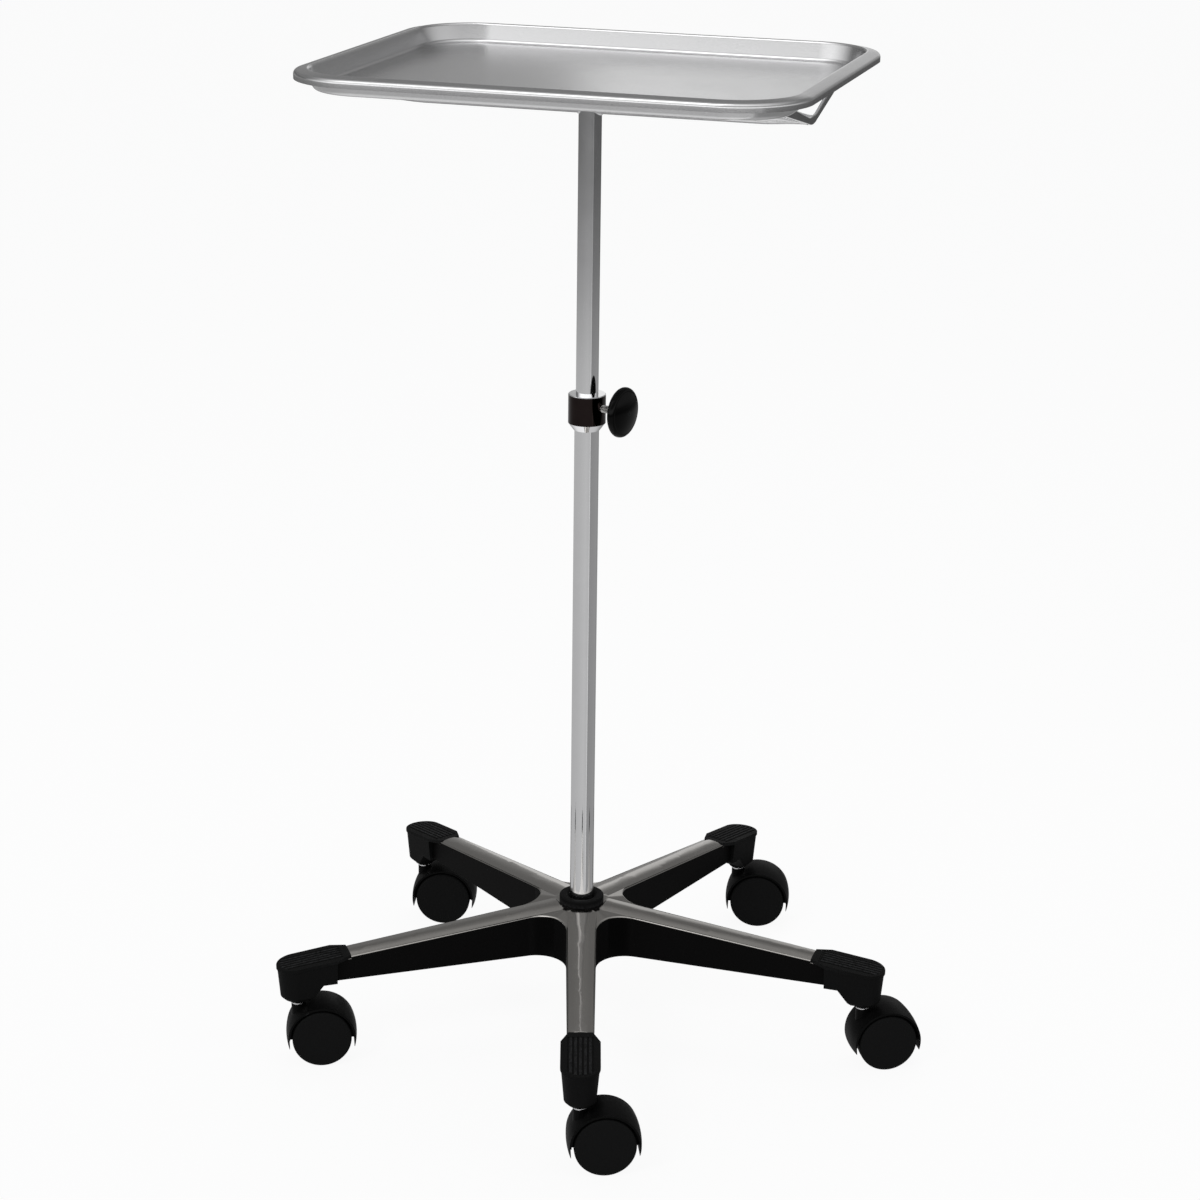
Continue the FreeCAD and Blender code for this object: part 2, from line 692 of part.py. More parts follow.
def tray():
    """The drawn pan: floor, sloping walls, falling flange and turned-down lip, with round corners."""
    half_sheet = tray_thickness / 2
    top = tray_rim_z - half_sheet
    floor = tray_rim_z - tray_depth - half_sheet
    flange_inner = -tray_flange_width
    wall_foot = flange_inner - tray_wall_run
    floor_start = wall_foot - 2 * tray_floor_bend
    edge = -half_sheet
    corners = [
        Vector(floor_start, 0, floor),
        Vector(wall_foot, 0, floor),
        Vector(flange_inner, 0, top),
        Vector(edge, 0, top - tray_flange_fall),
        Vector(edge, 0, tray_rim_z - tray_lip_height),
    ]
    bends = [tray_floor_bend, tray_flange_bend, tray_lip_bend]
    profile = bent_sheet(corners, bends, tray_thickness)
    half_length = tray_length / 2
    half_width = tray_width / 2
    radius = tray_corner_radius
    straight_x = half_length - radius
    straight_y = half_width - radius

    def placed(angle, x, y):
        face = profile.copy()
        face.translate(Vector(radius, 0, 0))
        face.rotate(Vector(0, 0, 0), UP, angle)
        face.translate(Vector(x, y, 0))
        return face

    pieces = []
    corner_signs = [(1, 1), (-1, 1), (-1, -1), (1, -1)]
    for number, (sign_x, sign_y) in enumerate(corner_signs):
        x = sign_x * straight_x
        y = sign_y * straight_y
        pieces.append(placed(90 * number, x, y).revolve(Vector(x, y, 0), UP, 90))
        side_length = 2 * straight_y if number % 2 == 0 else 2 * straight_x
        angle = math.radians(90 * number - 90)
        direction = Vector(math.cos(angle), math.sin(angle), 0)
        pieces.append(placed(90 * number, x, y).extrude(direction * side_length))
    inner = radius + floor_start
    floor_z = floor - half_sheet
    long_slab = Part.makeBox(2 * (straight_x + inner), 2 * straight_y, tray_thickness,
                             Vector(-straight_x - inner, -straight_y, floor_z))
    wide_slab = Part.makeBox(2 * straight_x, 2 * (straight_y + inner), tray_thickness,
                             Vector(-straight_x, -straight_y - inner, floor_z))
    discs = [cylinder(inner, floor_z, floor_z + tray_thickness, sign_x * straight_x, sign_y * straight_y)
             for sign_x, sign_y in corner_signs]
    pan = turned(fused(pieces + [long_slab, wide_slab] + discs), tray_turn)
    # The pan lies loose on its cradle, a little to the right of the mast.
    pan.translate(Vector(tray_shift, 0, 0))
    return pan


# Casters are built with the stem on the mast axis and the wheels trailing along +X.

def wheel(side):
    """One cupped wheel: flat outer disc, tread rim and hub, open towards the web."""
    outer = caster_half_width
    inner = outer - wheel_width
    ease = wheel_rounding
    outline = [
        (axle_radius + running_fit, outer - wheel_web),
        (axle_radius + running_fit, inner),
        (wheel_hub_radius, inner),
        (wheel_hub_radius, outer - wheel_web),
        (wheel_radius - wheel_rim, outer - wheel_web),
        (wheel_radius - wheel_rim, inner),
        (wheel_radius - ease, inner),
        (wheel_radius, inner + ease),
        (wheel_radius, outer - ease),
        (wheel_radius - ease, outer),
        (0, outer),
        (0, outer - wheel_web),
    ]
    turned_wheel = revolved(outline)
    turned_wheel.Placement = Placement(Vector(caster_trail, 0, wheel_radius), Rotation(UP, Vector(0, side, 0)))
    return turned_wheel


def hood_arch():
    """The hood's shell: a crowned section swept round the wheel's centre from tip to tip."""
    centre = Vector(caster_trail, 0, wheel_radius)
    inside = hood_radius - hood_thickness
    corner = lambda reach, across: centre + Vector(reach, across, 0)
    half = caster_half_width
    section = Part.Face(Part.Wire([
        Part.LineSegment(corner(inside, -half), corner(hood_radius, -half)).toShape(),
        Part.Arc(corner(hood_radius, -half), corner(hood_radius + hood_crown, 0), corner(hood_radius, half)).toShape(),
        Part.LineSegment(corner(hood_radius, half), corner(inside, half)).toShape(),
        Part.LineSegment(corner(inside, half), corner(inside, -half)).toShape(),
    ]))
    section.rotate(centre, Vector(0, 1, 0), hood_tip_angle)
    return section.revolve(centre, Vector(0, -1, 0), 180 + 2 * hood_tip_angle)


def caster_hood():
    """The arched hood with pointed tips, the web between the wheels and the neck round the stem."""
    half = caster_half_width
    tip = hood_tip_angle
    web_half = hood_web_thickness / 2
    inner_radius = hood_radius - hood_thickness
    arch = hood_arch()
    # Each tip ends in a thin skin: its inner side steps back and then narrows to a point.
    drop = math.radians(tip)
    point_z = wheel_radius - hood_radius * math.sin(drop)
    step_z = point_z + hood_tip_length
    foot_z = point_z - hood_tip_length
    for side in (1, -1):
        inner_x = caster_trail + side * (inner_radius * math.cos(drop) - cut_over)
        skin_x = caster_trail + side * (hood_radius - hood_tip_skin)
        point_x = caster_trail + side * (hood_radius * math.cos(drop) - hood_tip_blunt)
        outer_x = caster_trail + side * (hood_radius + hood_crown + cut_over)
        wedge = [
            Vector(inner_x, -half - cut_over, step_z),
            Vector(skin_x, -half - cut_over, step_z),
            Vector(point_x, -half - cut_over, point_z),
            Vector(outer_x, -half - cut_over, point_z),
            Vector(outer_x, -half - cut_over, foot_z),
            Vector(inner_x, -half - cut_over, foot_z),
        ]
        arch = arch.cut(plate(wedge, 2 * (half + cut_over), Vector(0, 1, 0)))
    web = Part.makeCylinder(inner_radius + hood_thickness / 2, 2 * web_half,
                            Vector(caster_trail, -web_half, wheel_radius), Vector(0, 1, 0))
    below = Part.makeBox(4 * hood_radius, 2 * half, 2 * hood_radius,
                         Vector(caster_trail - 2 * hood_radius, -half,
                                wheel_radius - hood_web_drop - 2 * hood_radius))
    web = web.cut(below)
    neck = cylinder(hood_neck_radius, wheel_radius + axle_radius, hood_neck_top_z)
    hood = fused([arch, web, neck])
    bore = cylinder(stem_radius + seat_gap, stem_foot_z - seat_gap, hood_neck_top_z + cut_over)
    axle_hole = Part.makeCylinder(axle_radius + seat_gap, 4 * web_half,
                                  Vector(caster_trail, -2 * web_half, wheel_radius), Vector(0, 1, 0))
    return hood.cut([bore, axle_hole])


def caster_stem():
    """The steel stem with the shoulder that carries the leg."""
    shoulder_foot = hood_neck_top_z + seat_gap + caster_washer_thickness + seat_gap
    stem = cylinder(stem_radius, stem_foot_z, stem_top_z)
    shoulder = cylinder(stem_shoulder_radius, shoulder_foot, leg_bottom_z - rest_gap)
    return fused([stem, shoulder])


def caster_washer():
    foot = hood_neck_top_z + seat_gap
    washer = cylinder(caster_washer_radius, foot, foot + caster_washer_thickness)
    return washer.cut(cylinder(stem_radius + seat_gap, foot - cut_over, foot + caster_washer_thickness + cut_over))


def caster_axle():
    half = caster_half_width - wheel_web - rest_gap
    return Part.makeCylinder(axle_radius, 2 * half, Vector(caster_trail, -half, wheel_radius), Vector(0, 1, 0))


def leg_angle(number):
    """Direction of a leg: the first points at the user, the rest follow anticlockwise seen from above."""
    return -90.0 + number * 360.0 / leg_count


def caster_place(shape, number):
    """Sets a caster piece under its leg, swivelled as it stands."""
    placed = turned(shape, caster_turns[number])
    angle = math.radians(leg_angle(number))
    placed.translate(Vector(math.cos(angle), math.sin(angle), 0) * stem_circle_radius)
    return placed


def main():
    save(turned(base_casting(), leg_angle(0)), "base_casting")
    cap = end_cap()
    caster_pieces = {
        "caster_hood": caster_hood(),
        "caster_stem": caster_stem(),
        "caster_washer": caster_washer(),
        "caster_axle": caster_axle(),
        "wheel_front": wheel(-1),
        "wheel_back": wheel(1),
    }
    for number in range(leg_count):
        save(turned(cap, leg_angle(number)), "end_cap_%d" % number)
        for name, shape in caster_pieces.items():
            save(caster_place(shape, number), "%s_%d" % (name, number))
    save(foot_ring(), "foot_ring")
    save(lower_tube(), "lower_tube")
    save(tube_foot_plug(), "tube_foot_plug")
    save(hub_washer(), "hub_washer")
    save(hub_bolt(), "hub_bolt")
    save(clamp_collar(), "clamp_collar")
    save(clamp_pad(), "clamp_pad")
    save(clamp_stud(), "clamp_stud")
    save(hand_knob(), "hand_knob")
    save(guide_bush(), "guide_bush")
    save(upper_tube(), "upper_tube")
    save(cradle_spine(), "cradle_spine")
    save(cradle_wing(-1), "cradle_wing_left")
    save(cradle_wing(1), "cradle_wing_right")
    save(tray(), "tray")


main()
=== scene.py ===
import json
import math

import bmesh
import bpy
from mathutils import Matrix, Vector


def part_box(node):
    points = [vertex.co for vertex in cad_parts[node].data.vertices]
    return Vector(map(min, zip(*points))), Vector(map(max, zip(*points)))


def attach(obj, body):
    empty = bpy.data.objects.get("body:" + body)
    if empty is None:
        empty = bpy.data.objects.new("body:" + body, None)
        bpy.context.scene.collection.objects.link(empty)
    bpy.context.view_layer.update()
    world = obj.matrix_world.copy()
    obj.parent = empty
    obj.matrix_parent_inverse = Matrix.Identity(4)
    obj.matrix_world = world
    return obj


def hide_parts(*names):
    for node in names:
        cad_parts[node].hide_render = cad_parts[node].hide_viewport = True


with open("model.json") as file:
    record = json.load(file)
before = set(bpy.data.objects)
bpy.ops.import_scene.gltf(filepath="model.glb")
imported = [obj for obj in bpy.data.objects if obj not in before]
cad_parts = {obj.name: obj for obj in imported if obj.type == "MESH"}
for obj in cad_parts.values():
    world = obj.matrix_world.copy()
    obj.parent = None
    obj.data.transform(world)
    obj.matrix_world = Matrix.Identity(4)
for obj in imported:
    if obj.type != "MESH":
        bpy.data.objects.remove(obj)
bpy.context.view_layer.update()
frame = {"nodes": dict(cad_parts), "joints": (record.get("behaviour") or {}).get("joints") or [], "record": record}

# Instrument stand, in metres, on the frame's own axes: +Z up, the front leg along -Y.

scene = bpy.context.scene
scene.view_settings.view_transform = "Standard"
for leftOver in ("Cube", "Light", "Camera"):
    if leftOver in bpy.data.objects:
        bpy.data.objects.remove(bpy.data.objects[leftOver])

bodyOfNode = {}
for bodyName, members in frame["record"]["behaviour"]["bodies"].items():
    for member in members:
        bodyOfNode[member] = bodyName
slotOfNode = {entry["node"]: entry["material_slot"] for entry in frame["record"]["subparts"]}
jointNamed = {joint["name"]: joint for joint in frame["joints"]}
legCount = 5
trayTurn = math.radians(-17.8)
grainHeight = 0.0002


def middleOf(node):
    low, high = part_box(node)
    return (low + high) / 2


# Shader node groups that several materials share

def newGroup(name, inputs, outputs):
    group = bpy.data.node_groups.new(name, "ShaderNodeTree")
    for label, value in inputs.items():
        socket = group.interface.new_socket(label, in_out="INPUT", socket_type="NodeSocketFloat")
        socket.default_value = value
    for label, kind in outputs.items():
        group.interface.new_socket(label, in_out="OUTPUT", socket_type="NodeSocket" + kind)
    return group, group.nodes.new("NodeGroupInput"), group.nodes.new("NodeGroupOutput")


# Settings are input values or the node's own properties; links are outputs of other nodes.
def addNode(tree, kind, settings=None, links=None):
    node = tree.nodes.new(kind)
    for key, value in (settings or {}).items():
        if isinstance(key, int) or key in node.inputs:
            node.inputs[key].default_value = value
        else:
            setattr(node, key, value)
    for key, output in (links or {}).items():
        tree.links.new(output, node.inputs[key])
    return node


def mathNode(tree, operation, *values):
    node = tree.nodes.new("ShaderNodeMath")
    node.operation = operation
    for number, value in enumerate(values):
        if isinstance(value, (int, float)):
            node.inputs[number].default_value = value
        else:
            tree.links.new(value, node.inputs[number])
    return node.outputs[0]


def objectPlace(tree):
    return addNode(tree, "ShaderNodeTexCoord").outputs["Object"]


# How far the surface faces up, from -1 to 1
def upwardLean(tree, kind="Normal"):
    surface = addNode(tree, "ShaderNodeNewGeometry")
    return addNode(tree, "ShaderNodeSeparateXYZ", links={0: surface.outputs[kind]}).outputs[2]


# Links outputs to the named inputs of a node, with _ for a space.
def feed(tree, node, **sources):
    for label, source in sources.items():
        tree.links.new(source, node.inputs[label.replace("_", " ")])


def rangeOf(tree, value, low, high, toLow, toHigh):
    node = addNode(tree, "ShaderNodeMapRange",
                   {"From Min": low, "From Max": high, "To Min": toLow, "To Max": toHigh}, {"Value": value})
    return node.outputs[0]


# Noise at a place, with a bump of the group's own depth from it
def addGrain(group, start, place, detail, roughness, scale=1.0, base=None):
    noise = addNode(group, "ShaderNodeTexNoise", {"Detail": detail, "Roughness": roughness}, {"Vector": place})
    if isinstance(scale, float):
        noise.inputs["Scale"].default_value = scale
    else:
        group.links.new(scale, noise.inputs["Scale"])
    bump = addNode(group, "ShaderNodeBump", {"Distance": grainHeight},
                   {"Height": noise.outputs["Fac"], "Strength": start.outputs["Depth"]})
    if base:
        group.links.new(base, bump.inputs["Normal"])
    return noise.outputs["Fac"], bump.outputs["Normal"]


# Fine parallel lines of ground metal, turned about Z and stretched along their length
def makeSatinGrain():
    group, start, end = newGroup("satinGrain", {"Turn": 0.0, "Across": 900.0, "Along": 30.0, "Depth": 0.1},
                                 {"Lines": "Float", "Normal": "Vector"})
    turn = addNode(group, "ShaderNodeCombineXYZ", links={2: start.outputs["Turn"]})
    turned = addNode(group, "ShaderNodeVectorRotate", {"rotation_type": "EULER_XYZ"},
                     {"Vector": objectPlace(group), "Rotation": turn.outputs[0]})
    scales = addNode(group, "ShaderNodeCombineXYZ",
                     links={0: start.outputs["Along"], 1: start.outputs["Across"], 2: start.outputs["Across"]})
    stretched = addNode(group, "ShaderNodeVectorMath", {"operation": "MULTIPLY"},
                        {0: turned.outputs[0], 1: scales.outputs[0]})
    lines, normal = addGrain(group, start, stretched.outputs[0], 3.0, 0.6)
    feed(group, end, Lines=lines, Normal=normal)
    return group


# Ground lines that follow each of the five legs outwards, in the leg's own coordinates
def makeLegGrain():
    group, start, end = newGroup("legGrain", {"Across": 1500.0, "Along": 25.0, "Depth": 0.15, "Flatten": 0.8},
                                 {"Lines": "Float", "Normal": "Vector"})
    x, y, z = addNode(group, "ShaderNodeSeparateXYZ", links={0: objectPlace(group)}).outputs
    pitch = 2 * math.pi / legCount
    angle = mathNode(group, "ADD", mathNode(group, "ARCTAN2", y, x), math.pi / 2)
    nearest = mathNode(group, "MULTIPLY", mathNode(group, "ROUND", mathNode(group, "DIVIDE", angle, pitch)), pitch)
    local = mathNode(group, "SUBTRACT", angle, nearest)
    reach = mathNode(group, "SQRT", mathNode(group, "ADD", mathNode(group, "MULTIPLY", x, x),
                                             mathNode(group, "MULTIPLY", y, y)))
    outwards = mathNode(group, "MULTIPLY", reach, mathNode(group, "COSINE", local))
    sideways = mathNode(group, "MULTIPLY", reach, mathNode(group, "SINE", local))
    lineAt = addNode(group, "ShaderNodeCombineXYZ",
                     links={0: mathNode(group, "MULTIPLY", outwards, start.outputs["Along"]),
                            1: mathNode(group, "MULTIPLY", sideways, start.outputs["Across"]), 2: nearest})
    # The ground top is flatter than the crown, so its normal loses most of its sideways lean.
    across = addNode(group, "ShaderNodeCombineXYZ",
                     links={0: mathNode(group, "COSINE", nearest), 1: mathNode(group, "SINE", nearest)})
    surface = addNode(group, "ShaderNodeNewGeometry")
    lean = addNode(group, "ShaderNodeVectorMath", {"operation": "DOT_PRODUCT"},
                   {0: surface.outputs["Normal"], 1: across.outputs[0]})
    taken = addNode(group, "ShaderNodeVectorMath", {"operation": "SCALE"},
                    {0: across.outputs[0],
                     "Scale": mathNode(group, "MULTIPLY", lean.outputs["Value"], start.outputs["Flatten"])})
    flatter = addNode(group, "ShaderNodeVectorMath", {"operation": "SUBTRACT"},
                      {0: surface.outputs["Normal"], 1: taken.outputs[0]})
    level = addNode(group, "ShaderNodeVectorMath", {"operation": "NORMALIZE"}, {0: flatter.outputs[0]})
    lines, normal = addGrain(group, start, lineAt.outputs[0], 4.0, 0.65, base=level.outputs[0])
    feed(group, end, Lines=lines, Normal=normal)
    return group


# Soft patches left by wiping and handling, as a mask
def makeSmudges():
    group, start, end = newGroup("smudges", {"Size": 25.0, "Contrast": 0.5}, {"Mask": "Float"})
    noise = addNode(group, "ShaderNodeTexNoise", {"Detail": 5.0, "Roughness": 0.7, "Distortion": 0.6},
                    {"Vector": objectPlace(group), "Scale": start.outputs["Size"]})
    centred = mathNode(group, "SUBTRACT", noise.outputs["Fac"], 0.5)
    mask = mathNode(group, "MULTIPLY_ADD", centred, start.outputs["Contrast"], 0.5)
    feed(group, end, Mask=mask)
    return group


# The fine matt texture of moulded plastic and of paint on a casting
def makeMouldedSkin():
    group, start, end = newGroup("mouldedSkin", {"Fineness": 1800.0, "Depth": 0.25},
                                 {"Speckle": "Float", "Normal": "Vector"})
    speckle, normal = addGrain(group, start, objectPlace(group), 3.0, 0.6, start.outputs["Fineness"])
    feed(group, end, Speckle=speckle, Normal=normal)
    return group


# Fine dust on faces that look up, as a mask
def makeDust():
    group, start, end = newGroup("dust", {"Amount": 0.1}, {"Mask": "Float"})
    upward = rangeOf(group, upwardLean(group), 0.3, 1.0, 0.0, 1.0)
    noise = addNode(group, "ShaderNodeTexNoise", {"Scale": 140.0, "Detail": 6.0, "Roughness": 0.75},
                    {"Vector": objectPlace(group)})
    patches = mathNode(group, "MULTIPLY", upward, noise.outputs["Fac"])
    feed(group, end, Mask=mathNode(group, "MULTIPLY", patches, start.outputs["Amount"]))
    return group


# Edges rubbed brighter, with a painted highlight along them, as a mask: where the surface bends outwards
def makeEdgeWearAndHighlight():
    group, start, end = newGroup("edgeWear", {"Width": 0.06, "Break": 160.0}, {"Mask": "Float"})
    surface = addNode(group, "ShaderNodeNewGeometry")
    low = mathNode(group, "ADD", start.outputs["Width"], 0.5)
    bend = addNode(group, "ShaderNodeMapRange", {"To Min": 0.0, "To Max": 1.0},
                   {"Value": surface.outputs["Pointiness"], "From Min": low,
                    "From Max": mathNode(group, "ADD", low, start.outputs["Width"])})
    noise = addNode(group, "ShaderNodeTexNoise", {"Detail": 4.0, "Roughness": 0.7},
                    {"Vector": objectPlace(group), "Scale": start.outputs["Break"]})
    broken = rangeOf(group, noise.outputs["Fac"], 0.35, 0.65, 0.0, 1.0)
    feed(group, end, Mask=mathNode(group, "MULTIPLY", bend.outputs[0], broken))
    return group


satinGrain = makeSatinGrain()
legGrain = makeLegGrain()
smudges = makeSmudges()
mouldedSkin = makeMouldedSkin()
dust = makeDust()
edgeWear = makeEdgeWearAndHighlight()


def newMaterial(name, **values):
    material = bpy.data.materials.new(name)
    material.use_nodes = True
    tree = material.node_tree
    shader = tree.nodes["Principled BSDF"]
    for label, value in values.items():
        shader.inputs[label.replace("_", " ")].default_value = value
    return material, tree, shader


def useGroup(tree, group, **values):
    node = tree.nodes.new("ShaderNodeGroup")
    node.node_tree = group
    for label, value in values.items():
        node.inputs[label].default_value = value
    return node


# A value that goes from low to high over the useful part of a wipe mask or of grain lines
def followMask(tree, mask, low, high):
    return rangeOf(tree, mask, 0.2, 0.8, low, high)


def followLines(tree, lines, low, high):
    return rangeOf(tree, lines, 0.3, 0.7, low, high)


def blendColours(tree, mask, first, second):
    node = tree.nodes.new("ShaderNodeMix")
    node.data_type = "RGBA"
    sockets = [socket for socket in node.inputs if socket.type == "RGBA"]
    for socket, value in zip(sockets, (first, second)):
        if isinstance(value, tuple):
            socket.default_value = (*value, 1.0)
        else:
            tree.links.new(value, socket)
    tree.links.new(mask, node.inputs[0])
    return [socket for socket in node.outputs if socket.type == "RGBA"][0]


# Ground aluminium where the casting faces up, black paint on its sides and underneath
castingFinish = {
    "metalDark": (0.33, 0.318, 0.3), "metalLight": (0.4, 0.386, 0.368), "metalShine": (0.1, 0.14),
    "paintDark": (0.0014, 0.0014, 0.0014), "paintLight": (0.0045, 0.0042, 0.0042), "paintShine": 0.5,
}


def makeGroundCasting():
    material, tree, shader = newMaterial("groundCasting", Specular_IOR_Level=0.03)
    ground = rangeOf(tree, upwardLean(tree), 0.45, 0.55, 0.0, 1.0)
    lines = useGroup(tree, legGrain, Across=1500.0, Along=420.0, Depth=0.035)
    wiped = useGroup(tree, smudges, Size=14.0, Contrast=1.0)
    paint = useGroup(tree, mouldedSkin, Fineness=1300.0, Depth=0.5)
    metal = blendColours(tree, followLines(tree, lines.outputs["Lines"], 0.0, 1.0),
                         castingFinish["metalDark"], castingFinish["metalLight"])
    black = blendColours(tree, paint.outputs["Speckle"], castingFinish["paintDark"], castingFinish["paintLight"])
    feed(tree, shader, Base_Color=blendColours(tree, ground, black, metal), Metallic=ground)
    low, high = castingFinish["metalShine"]
    shine = mathNode(tree, "ADD", followLines(tree, lines.outputs["Lines"], low, high),
                     followMask(tree, wiped.outputs["Mask"], -0.04, 0.04))
    matt = mathNode(tree, "MULTIPLY", mathNode(tree, "SUBTRACT", 1.0, ground), castingFinish["paintShine"])
    feed(tree, shader, Roughness=mathNode(tree, "MULTIPLY_ADD", shine, ground, matt))
    normals = tree.nodes.new("ShaderNodeMix")
    normals.data_type = "VECTOR"
    vectors = [socket for socket in normals.inputs if socket.type == "VECTOR"]
    tree.links.new(paint.outputs["Normal"], vectors[0])
    tree.links.new(lines.outputs["Normal"], vectors[1])
    tree.links.new(ground, normals.inputs[0])
    feed(tree, shader, Normal=[socket for socket in normals.outputs if socket.type == "VECTOR"][0])
    return material


def makeBlackPlastic(name, dark, light, roughness, fineness, depth, dustAmount, specular):
    material, tree, shader = newMaterial(name, Specular_IOR_Level=specular)
    skin = useGroup(tree, mouldedSkin, Fineness=fineness, Depth=depth)
    film = useGroup(tree, dust, Amount=dustAmount)
    wiped = useGroup(tree, smudges, Size=40.0, Contrast=1.2)
    wornAndHighlitEdges = useGroup(tree, edgeWear, Width=0.05, Break=300.0)
    black = blendColours(tree, skin.outputs["Speckle"], (dark,) * 3, (light,) * 3)
    # Partly rubbed wear and partly a painted highlight: the black plastic's bent-out edges are lightened towards grey
    rubbedAndHighlit = blendColours(tree, mathNode(tree, "MULTIPLY", wornAndHighlitEdges.outputs["Mask"], 0.5), black, (0.05, 0.05, 0.052))
    feed(tree, shader, Base_Color=blendColours(tree, film.outputs["Mask"], rubbedAndHighlit, (0.3, 0.29, 0.28)),
         Roughness=followMask(tree, wiped.outputs["Mask"], roughness - 0.06, roughness + 0.08),
         Normal=skin.outputs["Normal"])
    return material


# Bright plating with faint wipe marks in its gloss
def makeChrome(name, colour, low, high):
    material, tree, shader = newMaterial(name, Metallic=1.0)
    wiped = useGroup(tree, smudges, Size=30.0, Contrast=1.4)
    fine = useGroup(tree, satinGrain, Across=260.0, Along=260.0, Depth=0.004)
    wipedColour = tuple(value * 0.94 for value in colour)
    feed(tree, shader, Base_Color=blendColours(tree, wiped.outputs["Mask"], wipedColour, colour),
         Roughness=followMask(tree, wiped.outputs["Mask"], low, high), Normal=fine.outputs["Normal"])
    return material


# The collar's round side has a painted dark reflection in its colour, its top and its taper are bright chrome
def makeCollarPaintedReflection():
    material, tree, shader = newMaterial("collarPlating", Metallic=1.0)
    slope = mathNode(tree, "ABSOLUTE", upwardLean(tree, "True Normal"))
    bright = rangeOf(tree, slope, 0.12, 0.3, 0.0, 1.0)
    wiped = useGroup(tree, smudges, Size=45.0, Contrast=1.4)
    # Painted reflection: the round side's base colour is made near black to stand in for the dark room that it mirrors
    paintedDarkReflection = blendColours(tree, wiped.outputs["Mask"], (0.017, 0.012, 0.012), (0.027, 0.02, 0.019))
    feed(tree, shader, Base_Color=blendColours(tree, bright, paintedDarkReflection, (0.84, 0.84, 0.85)),
         Roughness=followMask(tree, wiped.outputs["Mask"], 0.04, 0.08))
    return material


# Satin stainless steel with a fine grain along the tray's length
def makeTraySteel(turn):
    material, tree, shader = newMaterial("satinTraySteel", Metallic=1.0)
    lines = useGroup(tree, satinGrain, Turn=-turn, Across=1600.0, Along=800.0, Depth=0.02)
    wiped = useGroup(tree, smudges, Size=9.0, Contrast=1.0)
    base = blendColours(tree, followLines(tree, lines.outputs["Lines"], 0.0, 1.0),
                        (0.55, 0.55, 0.555), (0.63, 0.63, 0.635))
    shine = mathNode(tree, "ADD", followLines(tree, lines.outputs["Lines"], 0.19, 0.24),
                     followMask(tree, wiped.outputs["Mask"], -0.03, 0.03))
    feed(tree, shader, Base_Color=base, Roughness=shine, Normal=lines.outputs["Normal"])
    return material


# Plated steel of bolts, stems and axles
def makeZinc():
    material, tree, shader = newMaterial("zincPlate", Metallic=1.0)
    wiped = useGroup(tree, smudges, Size=160.0, Contrast=1.6)
    feed(tree, shader, Base_Color=blendColours(tree, wiped.outputs["Mask"], (0.5, 0.49, 0.48), (0.72, 0.71, 0.7)),
         Roughness=followMask(tree, wiped.outputs["Mask"], 0.16, 0.3))
    return material


def makeNylon():
    material, tree, shader = newMaterial("naturalNylon", Subsurface_Weight=0.15)
    skin = useGroup(tree, mouldedSkin, Fineness=900.0, Depth=0.12)
    feed(tree, shader, Base_Color=blendColours(tree, skin.outputs["Speckle"], (0.62, 0.58, 0.46), (0.74, 0.7, 0.58)),
         Roughness=followLines(tree, skin.outputs["Speckle"], 0.42, 0.52), Normal=skin.outputs["Normal"])
    return material


finishes = {
    "casting": makeGroundCasting(),
    "cap": makeBlackPlastic("capPlastic", 0.0035, 0.008, 0.5, 1500.0, 0.35, 0.004, 0.03),
    "mast_chrome": makeChrome("mastChrome", (0.80, 0.80, 0.81), 0.06, 0.11),
    "collar_chrome": makeCollarPaintedReflection(),
    "cradle_chrome": makeChrome("cradleChrome", (0.74, 0.74, 0.75), 0.1, 0.17),
    "tray_steel": makeTraySteel(trayTurn),
    "steel": makeZinc(),
    "knob": makeBlackPlastic("glossKnob", 0.001, 0.0015, 0.1, 400.0, 0.004, 0.0, 0.09),
    "pad": makeNylon(),
    "hood": makeBlackPlastic("hoodPlastic", 0.002, 0.004, 0.4, 1700.0, 0.15, 0.002, 0.04),
    "wheel": makeBlackPlastic("wheelPlastic", 0.0055, 0.0095, 0.46, 2200.0, 0.25, 0.002, 0.03),
}
print("materials made:", len(finishes))

for node, thing in frame["nodes"].items():
    thing.data.materials.clear()
    thing.data.materials.append(finishes[slotOfNode[node]])

# Meshes: copies of nodes with softened edges, turned pieces and placed pieces

softEdges = {
    "base_casting": {"width": 0.0005, "segments": 2, "angle": 30.0},
    "wing": {"width": 0.0006, "segments": 3, "angle": 30.0},
    "end_cap": {"width": 0.00035, "segments": 2, "angle": 32.0},
    "caster_hood": {"width": 0.00015, "segments": 2, "angle": 40.0},
}
meshCare = {"merge": 0.000002, "flat": 0.4, "smoothUpTo": 38.0, "latheSteps": 96, "cornerSteps": 4}


def addPiece(name, mesh, body, slot, *nodes):
    mesh.materials.clear()
    mesh.materials.append(finishes[slot])
    piece = bpy.data.objects.new(name, mesh)
    scene.collection.objects.link(piece)
    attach(piece, body)
    if nodes:
        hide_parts(*nodes)
    return piece


# Takes the modifiers' result as a plain mesh and drops the work object.
def finishedMesh(thing):
    view = bpy.context.evaluated_depsgraph_get()
    mesh = bpy.data.meshes.new_from_object(thing.evaluated_get(view), depsgraph=view)
    bpy.data.objects.remove(thing)
    return mesh


def workObject(mesh):
    thing = bpy.data.objects.new("work", mesh)
    scene.collection.objects.link(thing)
    return thing


def smoothed(mesh):
    for polygon in mesh.polygons:
        polygon.use_smooth = True
    mesh.set_sharp_from_angle(angle=math.radians(meshCare["smoothUpTo"]))
    return mesh


